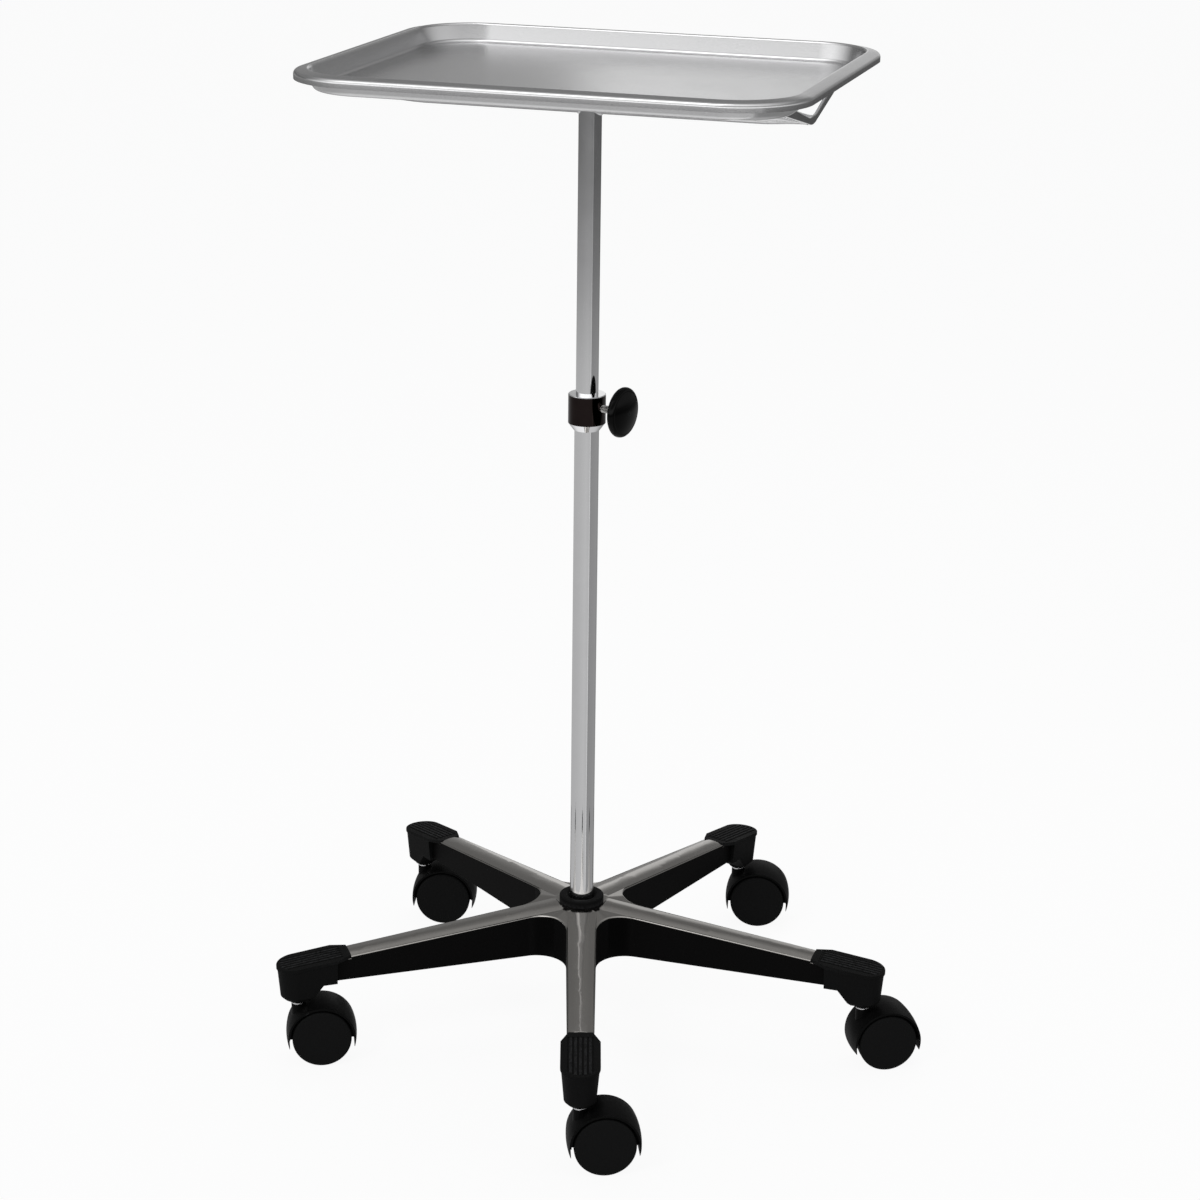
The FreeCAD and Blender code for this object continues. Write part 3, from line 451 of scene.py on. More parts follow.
def softCopy(node, edges):
    work = bmesh.new()
    work.from_mesh(frame["nodes"][node].data)
    bmesh.ops.remove_doubles(work, verts=work.verts, dist=meshCare["merge"])
    bmesh.ops.dissolve_limit(work, angle_limit=math.radians(meshCare["flat"]), verts=work.verts, edges=work.edges)
    mesh = bpy.data.meshes.new(node)
    work.to_mesh(mesh)
    work.free()
    return softened(mesh, edges)


# Rounds a mesh's edges; its large faces keep their own normals.
def softened(mesh, edges):
    thing = workObject(smoothed(mesh))
    bevel = thing.modifiers.new("softEdge", "BEVEL")
    bevel.width = edges["width"]
    bevel.segments = edges["segments"]
    bevel.limit_method = "ANGLE"
    bevel.angle_limit = math.radians(edges["angle"])
    bevel.use_clamp_overlap = False
    normals = thing.modifiers.new("faceNormals", "WEIGHTED_NORMAL")
    normals.keep_sharp = True
    return finishedMesh(thing)


# Gives the worked faces back as a mesh that points outwards.
def meshFrom(work, name):
    bmesh.ops.recalc_face_normals(work, faces=work.faces)
    mesh = bpy.data.meshes.new(name)
    work.to_mesh(mesh)
    work.free()
    return mesh


# Corners are (radius, height, rounding); each rounded corner becomes a short arc.
def roundedOutline(corners):
    steps = meshCare["cornerSteps"]
    points = []
    for number, (radius, height, rounding) in enumerate(corners):
        here = Vector((radius, height))
        if not rounding:
            points.append(here)
            continue
        before = Vector(corners[number - 1][:2]) - here
        after = Vector(corners[(number + 1) % len(corners)][:2]) - here
        start = here + before.normalized() * rounding
        end = here + after.normalized() * rounding
        for step in range(steps + 1):
            share = step / steps
            points.append(start * (1 - share) ** 2 + here * 2 * share * (1 - share) + end * share ** 2)
    return points


# Turns a closed outline of (radius, height) points round the axis that the matrix places.
def latheMesh(name, corners, place):
    outline = roundedOutline(corners)
    steps = meshCare["latheSteps"]
    work = bmesh.new()
    rings = []
    for point in outline:
        if point.x < 0.000001:
            rings.append([work.verts.new((0, 0, point.y))] * steps)
            continue
        ring = []
        for step in range(steps):
            angle = 2 * math.pi * step / steps
            ring.append(work.verts.new((point.x * math.cos(angle), point.x * math.sin(angle), point.y)))
        rings.append(ring)
    for first, second in zip(rings, rings[1:] + rings[:1]):
        for step in range(steps):
            after = (step + 1) % steps
            around = [first[step], first[after], second[after], second[step]]
            unique = [corner for number, corner in enumerate(around) if corner not in around[:number]]
            if len(unique) > 2:
                work.faces.new(unique)
    mesh = meshFrom(work, name)
    mesh.transform(place)
    return smoothed(mesh)


# A place whose own +Z points along a direction
def axisPlace(origin, direction):
    turned = Vector(direction).to_track_quat("Z", "Y").to_matrix().to_4x4()
    return Matrix.Translation(Vector(origin)) @ turned


# Geometry Nodes trees: named inputs, then Realize Instances and Set Material at the end

def newGeometryTree(name, inputs):
    tree = bpy.data.node_groups.new(name, "GeometryNodeTree")
    tree.interface.new_socket("Geometry", in_out="INPUT", socket_type="NodeSocketGeometry")
    for label, (kind, value) in inputs.items():
        socket = tree.interface.new_socket(label, in_out="INPUT", socket_type="NodeSocket" + kind)
        if value is not None:
            socket.default_value = value
    tree.interface.new_socket("Geometry", in_out="OUTPUT", socket_type="NodeSocketGeometry")
    return tree, tree.nodes.new("NodeGroupInput"), tree.nodes.new("NodeGroupOutput")


def endGeometryTree(tree, start, end, geometry):
    real = addNode(tree, "GeometryNodeRealizeInstances", links={0: geometry})
    painted = addNode(tree, "GeometryNodeSetMaterial",
                      links={"Geometry": real.outputs[0], "Material": start.outputs["Material"]})
    tree.links.new(painted.outputs[0], end.inputs[0])


# Runs a tree on a mesh with its named inputs set, and gives back the plain mesh in its place.
def runTree(tree, mesh, place, **values):
    thing = workObject(mesh)
    modifier = thing.modifiers.new(tree.name, "NODES")
    modifier.node_group = tree
    for item in tree.interface.items_tree:
        key = item.name.replace(" ", "_")
        if item.in_out == "INPUT" and key in values:
            modifier[item.identifier] = values[key]
    result = finishedMesh(thing)
    result.transform(place)
    return smoothed(result)


def emptyMesh(name):
    return bpy.data.meshes.new(name)


# Rounded ribs side by side, which run out to a round nose
def makeCapRibTree():
    tree, start, end = newGeometryTree("capRibs", {
        "Count": ("Int", 5), "Pitch": ("Float", 0.0049), "Rib Width": ("Float", 0.0026),
        "Rib Height": ("Float", 0.0008), "Start": ("Float", 0.27), "Nose Centre": ("Float", 0.3187),
        "Nose Radius": ("Float", 0.0162), "Material": ("Material", None)})
    share = start.outputs
    spread = mathNode(tree, "MULTIPLY", share["Pitch"], mathNode(tree, "SUBTRACT", share["Count"], 1.0))
    first = addNode(tree, "ShaderNodeCombineXYZ", links={1: mathNode(tree, "MULTIPLY", spread, -0.5)})
    step = addNode(tree, "ShaderNodeCombineXYZ", links={1: share["Pitch"]})
    row = addNode(tree, "GeometryNodeMeshLine",
                  links={"Count": share["Count"], "Start Location": first.outputs[0], "Offset": step.outputs[0]})
    spot = addNode(tree, "GeometryNodeInputPosition")
    y = addNode(tree, "ShaderNodeSeparateXYZ", links={0: spot.outputs[0]}).outputs[1]
    reach = mathNode(tree, "SQRT", mathNode(tree, "SUBTRACT",
                                            mathNode(tree, "MULTIPLY", share["Nose Radius"], share["Nose Radius"]),
                                            mathNode(tree, "MULTIPLY", y, y)))
    length = mathNode(tree, "SUBTRACT", mathNode(tree, "ADD", share["Nose Centre"], reach), share["Start"])
    size = addNode(tree, "ShaderNodeCombineXYZ", links={0: length, 1: share["Rib Width"], 2: share["Rib Height"]})
    middle = addNode(tree, "ShaderNodeCombineXYZ",
                     links={0: mathNode(tree, "MULTIPLY_ADD", length, 0.5, share["Start"]), 1: y})
    placed = addNode(tree, "GeometryNodeSetPosition", links={"Geometry": row.outputs[0], "Position": middle.outputs[0]})
    bar = addNode(tree, "GeometryNodeMeshCylinder", {"Vertices": 16, "Side Segments": 1, "Radius": 0.5, "Depth": 1.0})
    lying = addNode(tree, "GeometryNodeTransform", {"Rotation": (0.0, math.pi / 2, 0.0)},
                    {"Geometry": bar.outputs["Mesh"]})
    ribs = addNode(tree, "GeometryNodeInstanceOnPoints",
                   links={"Points": placed.outputs[0], "Instance": lying.outputs[0], "Scale": size.outputs[0]})
    endGeometryTree(tree, start, end, ribs.outputs[0])
    return tree


# A ridge wound round an axis, for the stud's thread
def makeThreadTree():
    tree, start, end = newGeometryTree("screwThread", {
        "Radius": ("Float", 0.0036), "Pitch": ("Float", 0.00125), "Turns": ("Float", 9.0),
        "Ridge": ("Float", 0.0006), "Material": ("Material", None)})
    share = start.outputs
    helix = addNode(tree, "GeometryNodeCurveSpiral", {"Resolution": 40},
                    {"Rotations": share["Turns"], "Start Radius": share["Radius"], "End Radius": share["Radius"],
                     "Height": mathNode(tree, "MULTIPLY", share["Turns"], share["Pitch"])})
    upright = addNode(tree, "GeometryNodeSetCurveNormal", {"mode": "Z_UP"}, {"Curve": helix.outputs[0]})
    profile = addNode(tree, "GeometryNodeCurvePrimitiveCircle", {"Resolution": 4}, {"Radius": share["Ridge"]})
    ridge = addNode(tree, "GeometryNodeCurveToMesh", {"Fill Caps": True},
                    {"Curve": upright.outputs[0], "Profile Curve": profile.outputs[0]})
    endGeometryTree(tree, start, end, ridge.outputs[0])
    return tree


# Flat ribs that stand round a wheel's hub like spokes
def makeSpokeTree():
    tree, start, end = newGeometryTree("wheelSpokes", {
        "Count": ("Int", 8), "Inner": ("Float", 0.0065), "Outer": ("Float", 0.028), "Thickness": ("Float", 0.0014),
        "Low": ("Float", 0.0085), "High": ("Float", 0.0195), "Material": ("Material", None)})
    share = start.outputs
    points = addNode(tree, "GeometryNodePoints", links={"Count": share["Count"]})
    number = addNode(tree, "GeometryNodeInputIndex")
    angle = mathNode(tree, "MULTIPLY", mathNode(tree, "DIVIDE", number.outputs[0], share["Count"]), 2 * math.pi)
    turn = addNode(tree, "ShaderNodeCombineXYZ", links={2: angle})
    size = addNode(tree, "ShaderNodeCombineXYZ",
                   links={0: mathNode(tree, "SUBTRACT", share["Outer"], share["Inner"]), 1: share["Thickness"],
                          2: mathNode(tree, "SUBTRACT", share["High"], share["Low"])})
    slab = addNode(tree, "GeometryNodeMeshCube", links={"Size": size.outputs[0]})
    reach = mathNode(tree, "MULTIPLY", mathNode(tree, "ADD", share["Inner"], share["Outer"]), 0.5)
    height = mathNode(tree, "MULTIPLY", mathNode(tree, "ADD", share["Low"], share["High"]), 0.5)
    away = addNode(tree, "ShaderNodeCombineXYZ", links={0: reach, 2: height})
    moved = addNode(tree, "GeometryNodeTransform", links={"Geometry": slab.outputs[0], "Translation": away.outputs[0]})
    spokes = addNode(tree, "GeometryNodeInstanceOnPoints",
                     links={"Points": points.outputs[0], "Instance": moved.outputs[0], "Rotation": turn.outputs[0]})
    endGeometryTree(tree, start, end, spokes.outputs[0])
    return tree


# Overlapping beads laid along a path of edges, as a weld leaves them
def makeWeldTree():
    tree, start, end = newGeometryTree("weldBeads", {
        "Spacing": ("Float", 0.0011), "Width": ("Float", 0.003), "Height": ("Float", 0.0016),
        "Unevenness": ("Float", 0.12), "Seed": ("Int", 7), "Material": ("Material", None)})
    share = start.outputs
    path = addNode(tree, "GeometryNodeMeshToCurve", links={"Mesh": share["Geometry"]})
    even = addNode(tree, "GeometryNodeCurveToPoints", {"mode": "LENGTH"},
                   {"Curve": path.outputs[0], "Length": share["Spacing"]})
    drop = addNode(tree, "GeometryNodeMeshUVSphere", {"Segments": 12, "Rings": 6, "Radius": 0.5})
    size = addNode(tree, "ShaderNodeCombineXYZ",
                   links={0: share["Width"], 1: share["Width"], 2: share["Height"]})
    chance = addNode(tree, "FunctionNodeRandomValue", {"data_type": "FLOAT"}, {"Seed": share["Seed"]})
    chance.inputs[2].default_value = 0.0
    chance.inputs[3].default_value = 1.0
    swell = mathNode(tree, "MULTIPLY_ADD", chance.outputs[1], share["Unevenness"], 1.0)
    scaled = addNode(tree, "ShaderNodeVectorMath", {"operation": "SCALE"}, {0: size.outputs[0], "Scale": swell})
    beads = addNode(tree, "GeometryNodeInstanceOnPoints",
                    links={"Points": even.outputs[0], "Instance": drop.outputs[0], "Scale": scaled.outputs[0],
                           "Rotation": even.outputs["Rotation"]})
    endGeometryTree(tree, start, end, beads.outputs[0])
    return tree


capRibTree = makeCapRibTree()
threadTree = makeThreadTree()
spokeTree = makeSpokeTree()
weldTree = makeWeldTree()
print("node trees made")

# The five-leg base


def addCasting():
    addPiece("castingGround", softCopy("base_casting", softEdges["base_casting"]), "base", "casting",
             "base_casting")


capRibSizes = {"count": 5, "pitch": 0.0049, "width": 0.0027, "height": 0.0009, "start": 0.2715,
               "noseCentre": 0.3187, "noseRadius": 0.0172, "topAt": (0.261, 0.1202), "endAt": (0.3389, 0.1118)}


def addCaps():
    sizes = capRibSizes
    (innerReach, innerTop), (outerReach, outerTop) = sizes["topAt"], sizes["endAt"]
    fall = math.atan2(innerTop - outerTop, outerReach - innerReach)
    for number in range(legCount):
        node = "end_cap_%d" % number
        addPiece("capBody.%d" % number, softCopy(node, softEdges["end_cap"]), "base", "cap", node)
        leg = Matrix.Rotation(math.radians(-90 + 360 / legCount * number), 4, "Z")
        hinge = Matrix.Translation((innerReach, 0, innerTop)) @ Matrix.Rotation(fall, 4, "Y") \
            @ Matrix.Translation((-innerReach, 0, 0))
        ribs = runTree(capRibTree, emptyMesh("capRibs"), leg @ hinge, Count=sizes["count"], Pitch=sizes["pitch"],
                       Rib_Width=sizes["width"], Rib_Height=sizes["height"], Start=sizes["start"],
                       Nose_Centre=sizes["noseCentre"], Nose_Radius=sizes["noseRadius"], Material=finishes["cap"])
        addPiece("capRibs.%d" % number, ribs, "base", "cap")


ringSizes = {"bore": 0.0128, "seam": 0.0034, "rounding": 0.0016}


def addFootRing():
    low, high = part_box("foot_ring")
    outer = (high.x - low.x) / 2
    bore, seam, ease = ringSizes["bore"], ringSizes["seam"], ringSizes["rounding"]
    corners = [
        (bore, low.z, 0), (outer, low.z, 0), (outer, high.z, ease), (bore + seam, high.z, ease),
        (bore, high.z - seam, ease / 2),
    ]
    addPiece("footRing", latheMesh("footRing", corners, Matrix.Identity(4)), "base", "cap", "foot_ring")


# The mast, the clamp and the knob

lowerTubeSizes = {"wall": 0.0009, "lip": 0.0003, "end": 0.001}


def addLowerTube():
    low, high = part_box("lower_tube")
    outer = (high.x - low.x) / 2
    inner = outer - lowerTubeSizes["wall"]
    lip = lowerTubeSizes["lip"]
    end = lowerTubeSizes["end"]
    corners = [(inner, low.z, lip), (outer, low.z, lip), (outer, low.z + end, 0), (outer, high.z - end, 0),
               (outer, high.z, lip), (inner, high.z, lip), (inner, high.z - end, 0), (inner, low.z + end, 0)]
    addPiece("lowerTube", latheMesh("lowerTube", corners, Matrix.Identity(4)), "base", "mast_chrome", "lower_tube")


studSizes = {"core": 0.0034, "pilot": 0.002, "pilotLength": 0.0012, "from": 0.0145, "to": 0.0432, "pitch": 0.00125,
             "ridge": 0.0006, "lead": 0.0006}


def addStud():
    sizes = studSizes
    joint = jointNamed["knob_turn"]
    place = axisPlace(joint["pos_m"], joint["axis"])
    corners = [
        (0, sizes["from"] - sizes["pilotLength"], 0), (sizes["pilot"], sizes["from"] - sizes["pilotLength"], 0.0003),
        (sizes["pilot"], sizes["from"], 0), (sizes["core"], sizes["from"], 0.0003),
        (sizes["core"], sizes["to"], 0), (0, sizes["to"], 0),
    ]
    addPiece("studCore", latheMesh("studCore", corners, place), "knob", "steel", "clamp_stud")
    turns = (sizes["to"] - sizes["from"] - 2 * sizes["lead"]) / sizes["pitch"]
    wound = place @ Matrix.Translation((0, 0, sizes["from"] + sizes["lead"]))
    thread = runTree(threadTree, emptyMesh("thread"), wound, Radius=sizes["core"], Pitch=sizes["pitch"], Turns=turns,
                     Ridge=sizes["ridge"], Material=finishes["steel"])
    addPiece("studThread", thread, "knob", "steel")


# The tray: one drawn sheet from the floor up the wall, over the rim and down the lip

traySizes = {
    "length": 0.509, "width": 0.43, "radius": 0.075, "rimZ": 1.05449, "depth": 0.02, "sheet": 0.001, "flange": 0.0145,
    "fall": 0.0028, "lip": 0.0105, "wallRun": 0.0045, "bends": (0.005, 0.0026, 0.0036), "shift": 0.004,
    "bendSteps": 10, "cornerSteps": 28,
}


# Points and leftward normals along a folded line, with a true arc at each bend
def foldedLine(corners, bends, steps):
    points = [Vector(corner) for corner in corners]
    line = [(points[0], (points[1] - points[0]).normalized().orthogonal())]
    for number, bend in enumerate(bends):
        before, here, after = points[number:number + 3]
        arrive, leave = (here - before).normalized(), (after - here).normalized()
        turn = math.atan2(arrive.x * leave.y - arrive.y * leave.x, arrive.dot(leave))
        start = here - arrive * bend * math.tan(abs(turn) / 2)
        side = math.copysign(1.0, turn)
        left = arrive.orthogonal()
        centre = start + left * side * bend
        for step in range(steps + 1):
            angle = turn * step / steps
            normal = Vector((left.x * math.cos(angle) - left.y * math.sin(angle),
                             left.x * math.sin(angle) + left.y * math.cos(angle)))
            line.append((centre - normal * side * bend, normal))
    line.append((points[-1], (points[-1] - points[-2]).normalized().orthogonal()))
    return line


def addTray():
    sizes = traySizes
    half = sizes["sheet"] / 2
    top, floorZ = sizes["rimZ"] - half, sizes["rimZ"] - sizes["depth"] - half
    wallFoot = -sizes["flange"] - sizes["wallRun"]
    corners = [(wallFoot - 2 * sizes["bends"][0], floorZ), (wallFoot, floorZ), (-sizes["flange"], top),
               (-half, top - sizes["fall"]), (-half, sizes["rimZ"] - sizes["lip"])]
    line = foldedLine(corners, sizes["bends"], sizes["bendSteps"])
    section = [point + normal * half for point, normal in line]
    section += [point - normal * half for point, normal in reversed(line)]
    straightX, straightY = sizes["length"] / 2 - sizes["radius"], sizes["width"] / 2 - sizes["radius"]
    work = bmesh.new()
    columns = []
    for number, (signX, signY) in enumerate(((1, 1), (-1, 1), (-1, -1), (1, -1))):
        for step in range(sizes["cornerSteps"] + 1):
            angle = math.pi / 2 * (number + step / sizes["cornerSteps"])
            columns.append([work.verts.new((signX * straightX + (sizes["radius"] + point.x) * math.cos(angle),
                                            signY * straightY + (sizes["radius"] + point.x) * math.sin(angle),
                                            point.y)) for point in section])
    for near, far in zip(columns, columns[1:] + columns[:1]):
        for number in range(len(section) - 1):
            work.faces.new([near[number], far[number], far[number + 1], near[number + 1]])
    work.faces.new([column[0] for column in columns])
    work.faces.new([column[-1] for column in reversed(columns)])
    mesh = meshFrom(work, "tray")
    mesh.transform(Matrix.Translation((sizes["shift"], 0, 0)) @ Matrix.Rotation(trayTurn, 4, "Z"))
    addPiece("trayPan", smoothed(mesh), bodyOfNode["tray"], "tray_steel", "tray")


# The cradle's wings, and the weld between the tube and the spine

wingSizes = {"place": 0.2235, "thickness": 0.003, "half": 0.13, "inner": 0.096, "foot": 0.016, "footDrop": 0.0006,
             "bottom": 1.0027, "notch": 1.0108, "rise": 1.0114, "top": 1.0332, "tip": 0.002, "bendSteps": 6}


# Two straight arms that rise from the spine's pressed end to the tray
def addCradle():
    sizes = wingSizes
    half, inner, foot = sizes["half"], sizes["inner"], sizes["foot"]
    low = [(half, sizes["top"] - sizes["tip"])]
    for step in range(-sizes["bendSteps"], sizes["bendSteps"] + 1):
        share = step / sizes["bendSteps"]
        low.append((-share * foot, sizes["bottom"] + sizes["footDrop"] * share * share * 4))
    low.append((-half, sizes["top"] - sizes["tip"]))
    high = [(-half, sizes["top"]), (-inner, sizes["top"]), (-foot, sizes["rise"]), (-foot / 2, sizes["notch"]),
            (foot / 2, sizes["notch"]), (foot, sizes["rise"]), (inner, sizes["top"]), (half, sizes["top"])]
    outline = low + high
    for side, turn in (("left", math.pi), ("right", 0.0)):
        work = bmesh.new()
        near = [work.verts.new((sizes["place"], y, z)) for y, z in outline]
        far = [work.verts.new((sizes["place"] + sizes["thickness"], y, z)) for y, z in outline]
        work.faces.new(near)
        work.faces.new(list(reversed(far)))
        for number in range(len(outline)):
            after = (number + 1) % len(outline)
            work.faces.new([near[number], near[after], far[after], far[number]])
        mesh = softened(meshFrom(work, "wing"), softEdges["wing"])
        mesh.transform(Matrix.Rotation(trayTurn + turn, 4, "Z"))
        addPiece("wing." + side, mesh, "upper_mast", "cradle_chrome", "cradle_wing_" + side)


weldSizes = {"spacing": 0.0011, "width": 0.0026, "height": 0.0013, "seed": 7, "pathSteps": 120}


# The saddle joint's line: where the upper tube meets the round spine that lies across it
def addSaddleWeld():
    tubeLow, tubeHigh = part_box("upper_tube")
    spineLow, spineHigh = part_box("cradle_spine")
    tube = (tubeHigh.x - tubeLow.x) / 2
    spine = (spineHigh.z - spineLow.z) / 2
    spineZ = (spineHigh.z + spineLow.z) / 2
    steps = weldSizes["pathSteps"]
    points = []
    for step in range(steps):
        angle = 2 * math.pi * step / steps
        along, across = tube * math.cos(angle), tube * math.sin(angle)
        depth = math.sqrt(max(spine * spine - across * across, 0.0))
        points.append((along, across, spineZ - depth))
    mesh = bpy.data.meshes.new("saddleLine")
    mesh.from_pydata(points, [(step, (step + 1) % steps) for step in range(steps)], [])
    weld = runTree(weldTree, mesh, Matrix.Rotation(trayTurn, 4, "Z"), Spacing=weldSizes["spacing"],
                   Width=weldSizes["width"], Height=weldSizes["height"], Seed=weldSizes["seed"],
                   Material=finishes["cradle_chrome"])
    addPiece("saddleWeld", weld, "upper_mast", "cradle_chrome")


# The casters: hood, stem, washer and two cupped wheels, five times

wheelSizes = {
    "radius": 0.031497, "outer": 0.022, "width": 0.0142, "web": 0.003, "rim": 0.004, "hub": 0.007, "bore": 0.00305,
    "tread": 0.0026, "crown": 0.0003, "ease": 0.0004, "spokes": 8, "spokeThickness": 0.0014, "spokeDrop": 0.0015,
}
stemSizes = {"radius": 0.0055, "shoulder": 0.0066, "shoulderLow": 0.0681, "shoulderHigh": 0.0917, "ease": 0.0005}
washerSizes = {"bore": 0.0056, "ease": 0.0003}


def addWheel(number, side):
    sizes = wheelSizes
    node = "wheel_%s_%d" % (side, number)
    joint = jointNamed["caster_%d_roll_%s" % (number, side)]
    axis = Vector(joint["axis"])
    if (middleOf(node) - Vector(joint["pos_m"])).dot(axis) < 0:
        axis = -axis
    place = axisPlace(joint["pos_m"], axis)
    outer, inner, ease = sizes["outer"], sizes["outer"] - sizes["width"], sizes["ease"]
    disc = outer - sizes["web"]
    corners = [
        (0, outer - sizes["crown"], 0), (0, disc, 0), (sizes["bore"], disc, 0), (sizes["bore"], inner, 0),
        (sizes["hub"], inner, ease), (sizes["hub"], disc, ease), (sizes["radius"] - sizes["rim"], disc, ease),
        (sizes["radius"] - sizes["rim"], inner, ease), (sizes["radius"], inner, sizes["tread"]),
        (sizes["radius"], outer, sizes["tread"]), (sizes["radius"] * 0.6, outer, 0.004),
    ]
    body = bodyOfNode[node]
    addPiece("wheel.%s.%d" % (side, number), latheMesh("wheel", corners, place), body, "wheel", node)
    spokes = runTree(spokeTree, emptyMesh("spokes"), place, Count=sizes["spokes"], Inner=sizes["hub"] - ease,
                     Outer=sizes["radius"] - sizes["rim"] + ease, Thickness=sizes["spokeThickness"],
                     Low=inner + sizes["spokeDrop"], High=disc + ease, Material=finishes["wheel"])
    addPiece("wheelSpokes.%s.%d" % (side, number), spokes, body, "wheel")


def addCaster(number):
    body = "caster_%d" % number
    hood = "caster_hood_%d" % number
    addPiece("hood.%d" % number, softCopy(hood, softEdges["caster_hood"]), body, "hood", hood)
    x, y, swivelZ = jointNamed["caster_%d_swivel" % number]["pos_m"]
    place = Matrix.Translation((x, y, 0))
    low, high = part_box("caster_stem_%d" % number)
    sizes = stemSizes
    ease = sizes["ease"]
    corners = [
        (0, low.z, 0), (sizes["radius"], low.z, ease), (sizes["radius"], sizes["shoulderLow"], 0),
        (sizes["shoulder"], sizes["shoulderLow"], ease), (sizes["shoulder"], sizes["shoulderHigh"], ease),
        (sizes["radius"], sizes["shoulderHigh"], 0), (sizes["radius"], high.z, ease), (0, high.z, 0),
    ]
    addPiece("stem.%d" % number, latheMesh("stem", corners, place), body, "steel", "caster_stem_%d" % number)
    low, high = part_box("caster_washer_%d" % number)
    outer = (high.x - low.x) / 2
    ease = washerSizes["ease"]
    corners = [(washerSizes["bore"], low.z, 0), (outer, low.z, ease), (outer, high.z, ease),
               (washerSizes["bore"], high.z, 0)]
    addPiece("washer.%d" % number, latheMesh("washer", corners, place), body, "mast_chrome",
             "caster_washer_%d" % number)
    for side in ("front", "back"):
        addWheel(number, side)


addCasting()
addCaps()
addFootRing()
print("base ready")
addLowerTube()
addStud()
addTray()
addCradle()
addSaddleWeld()
print("mast and cradle ready")
for casterNumber in range(legCount):
    addCaster(casterNumber)
print("casters ready")

# The floor, the studio and the camera

studio = {"floorHalf": 12.0, "floorColour": (0.88, 0.88, 0.88, 1.0), "floorWhite": 0.93, "roomStrength": 0.5}
# What bright metal mirrors, in brightness. A bearing is in degrees from the front, positive to the right, and a
# height in degrees from the horizon. The low part, the high wall and the ceiling each have their own.
room = {
    "lowBearing": [(-180, 0.2), (-170, 0.24), (-155, 0.5), (-60, 0.54), (0, 0.6), (33, 0.56), (34, 0.95),
                   (36.5, 0.95), (37.5, 0.31), (120, 0.34), (160, 0.24), (180, 0.2)],
    "lowHeight": [(-90, 1.9), (-55, 1.7), (-35, 1.0), (-14.7, 1.0), (-11.9, 0.55), (-9.5, 0.3), (0, 0.3)],
    "highBearing": [(-180, 0.42), (-170, 0.26), (-155, 0.17), (-110, 0.2), (-60, 1.7), (0, 1.9), (50, 1.3),
                    (100, 0.6), (128, 0.22), (146, 0.25), (160, 0.72), (170, 0.62), (180, 0.42)],
    "ceiling": [(14, 0.4), (20, 0.27), (34, 0.24), (50, 0.5), (90, 0.9)],
    "ceilingBearing": [(-180, 1.0), (-110, 1.0), (-90, 2.2), (-62, 4.0), (-38, 4.0), (-26, 1.7), (60, 1.7),
                       (110, 1.0), (180, 1.0)],
    "horizonBlend": (-3.0, 3.0), "ceilingBlend": (14.0, 22.0),
}


def makeFloor():
    mesh = bpy.data.meshes.new("floor")
    half = studio["floorHalf"]
    corners = [(-half, -half, 0), (half, -half, 0), (half, half, 0), (-half, half, 0)]
    mesh.from_pydata(corners, [], [(0, 1, 2, 3)])
    floor = bpy.data.objects.new("floor", mesh)
    scene.collection.objects.link(floor)
    floor.location.z = -0.0005
    material = bpy.data.materials.new("paleFloor")
    material.use_nodes = True
    tree = material.node_tree
    tree.nodes.clear()
    end = tree.nodes.new("ShaderNodeOutputMaterial")
    matt = addNode(tree, "ShaderNodeBsdfDiffuse", {"Color": studio["floorColour"]})
    white = addNode(tree, "ShaderNodeEmission", {"Color": (1, 1, 1, 1), "Strength": 1.0})
    path = addNode(tree, "ShaderNodeLightPath")
    share = mathNode(tree, "MULTIPLY", path.outputs["Is Camera Ray"], studio["floorWhite"])
    mix = addNode(tree, "ShaderNodeMixShader", links={0: share, 1: matt.outputs[0], 2: white.outputs[0]})
    tree.links.new(mix.outputs[0], end.inputs["Surface"])
    mesh.materials.append(material)
    floor.visible_glossy = False


def rampNode(tree, value, stops, low, high):
    ramp = addNode(tree, "ShaderNodeValToRGB", links={0: rangeOf(tree, value, low, high, 0.0, 1.0)})
    elements = ramp.color_ramp.elements
    for number, (spot, level) in enumerate(stops):
        element = elements[0] if number == 0 else elements.new((spot - low) / (high - low))
        element.color = (level, level, level, 1.0)
    elements.remove(elements[-1])
    return ramp.outputs[0]


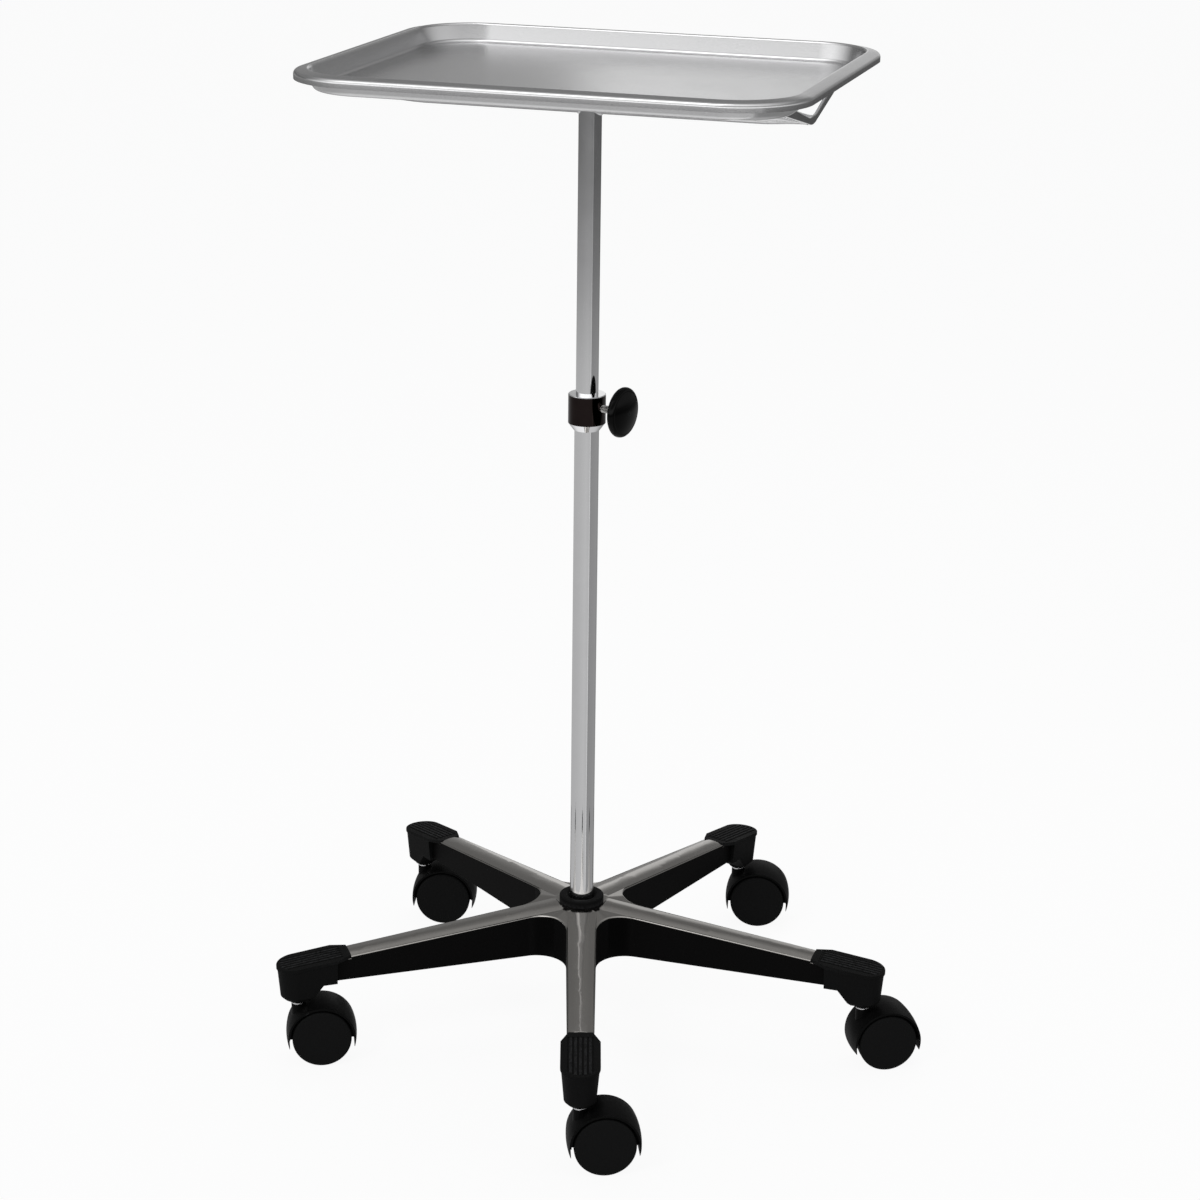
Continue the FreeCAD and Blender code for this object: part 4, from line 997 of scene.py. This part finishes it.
# White to the camera, an even pale room to matt surfaces, and light and dark walls to bright metal
def makeWorld():
    world = bpy.data.worlds.new("studioRoom")
    scene.world = world
    world.use_nodes = True
    world.cycles.sampling_method = "NONE"
    tree = world.node_tree
    tree.nodes.clear()
    end = tree.nodes.new("ShaderNodeOutputWorld")
    x, y, z = addNode(tree, "ShaderNodeSeparateXYZ", links={0: objectPlace(tree)}).outputs
    bearing = mathNode(tree, "DEGREES", mathNode(tree, "ARCTAN2", x, mathNode(tree, "MULTIPLY", y, -1.0)))
    height = mathNode(tree, "DEGREES", mathNode(tree, "ARCSINE", z))
    lowWall = addNode(tree, "ShaderNodeVectorMath", {"operation": "MULTIPLY"},
                      {0: rampNode(tree, bearing, room["lowBearing"], -180, 180),
                       1: rampNode(tree, height, room["lowHeight"], -90, 0)})
    highWall = rampNode(tree, bearing, room["highBearing"], -180, 180)
    ceiling = addNode(tree, "ShaderNodeVectorMath", {"operation": "MULTIPLY"},
                      {0: rampNode(tree, height, room["ceiling"], 14, 90),
                       1: rampNode(tree, bearing, room["ceilingBearing"], -180, 180)})
    aboveLow = rangeOf(tree, height, *room["horizonBlend"], 0.0, 1.0)
    aboveWall = rangeOf(tree, height, *room["ceilingBlend"], 0.0, 1.0)
    walls = blendColours(tree, aboveLow, lowWall.outputs[0], highWall)
    seen = blendColours(tree, aboveWall, walls, ceiling.outputs[0])
    mirrored = addNode(tree, "ShaderNodeBackground", {"Strength": 1.0}, {"Color": seen})
    even = addNode(tree, "ShaderNodeBackground", {"Color": (0.96, 0.98, 1.0, 1), "Strength": studio["roomStrength"]})
    white = addNode(tree, "ShaderNodeBackground", {"Color": (1, 1, 1, 1), "Strength": 1.0})
    path = addNode(tree, "ShaderNodeLightPath")
    inside = addNode(tree, "ShaderNodeMixShader",
                     links={0: path.outputs["Is Glossy Ray"], 1: even.outputs[0], 2: mirrored.outputs[0]})
    mix = addNode(tree, "ShaderNodeMixShader",
                  links={0: path.outputs["Is Camera Ray"], 1: inside.outputs[0], 2: white.outputs[0]})
    tree.links.new(mix.outputs[0], end.inputs["Surface"])


lamps = {
    "keyLight": {"place": (-1.8, -2.2, 2.6), "target": (0, 0, 0.6), "size": (0.9, 0.9), "power": 30.0},
    "fillLight": {"place": (2.4, -1.2, 1.6), "target": (0, 0, 0.5), "size": (1.2, 2.0), "power": 8.0},
    "topLight": {"place": (0.2, 0.8, 3.0), "target": (0, 0, 0.9), "size": (2.0, 1.2), "power": 16.0},
}


# Bright metal mirrors the room and not the lamps.
def addLamp(name, place, target, size, power):
    light = bpy.data.lights.new(name, "AREA")
    light.shape = "RECTANGLE"
    light.size, light.size_y = size
    light.energy = power
    lamp = bpy.data.objects.new(name, light)
    scene.collection.objects.link(lamp)
    lamp.location = place
    lamp.rotation_mode = "QUATERNION"
    lamp.rotation_quaternion = (Vector(target) - Vector(place)).to_track_quat("-Z", "Y")
    lamp.visible_glossy = False


cameraView = {"place": (-0.0068, -2.7558, 1.4494), "yaw": -0.008, "pitch": 0.335, "roll": 0.013, "focal": 2778.4,
              "frame": 1200, "shift": (0.0005, -0.0004)}


def makeCamera():
    yaw, pitch, roll = cameraView["yaw"], cameraView["pitch"], cameraView["roll"]
    level = Vector((-math.sin(yaw), math.cos(yaw), 0))
    right = Vector((math.cos(yaw), math.sin(yaw), 0))
    up = Vector((0, 0, 1))
    forward = level * math.cos(pitch) - up * math.sin(pitch)
    above = level * math.sin(pitch) + up * math.cos(pitch)
    rolledRight = right * math.cos(roll) + above * math.sin(roll)
    rolledUp = -right * math.sin(roll) + above * math.cos(roll)
    data = bpy.data.cameras.new("photoCamera")
    data.sensor_width = 36.0
    data.lens = cameraView["focal"] / cameraView["frame"] * data.sensor_width
    data.shift_x, data.shift_y = cameraView["shift"]
    data.clip_start = 0.05
    data.clip_end = 60.0
    camera = bpy.data.objects.new("photoCamera", data)
    scene.collection.objects.link(camera)
    turned = Matrix((rolledRight, rolledUp, -forward)).transposed().to_4x4()
    camera.matrix_world = Matrix.Translation(cameraView["place"]) @ turned
    scene.camera = camera


makeFloor()
makeWorld()
for lampName, lampSizes in lamps.items():
    addLamp(lampName, lampSizes["place"], lampSizes["target"], lampSizes["size"], lampSizes["power"])
makeCamera()
print("studio ready")
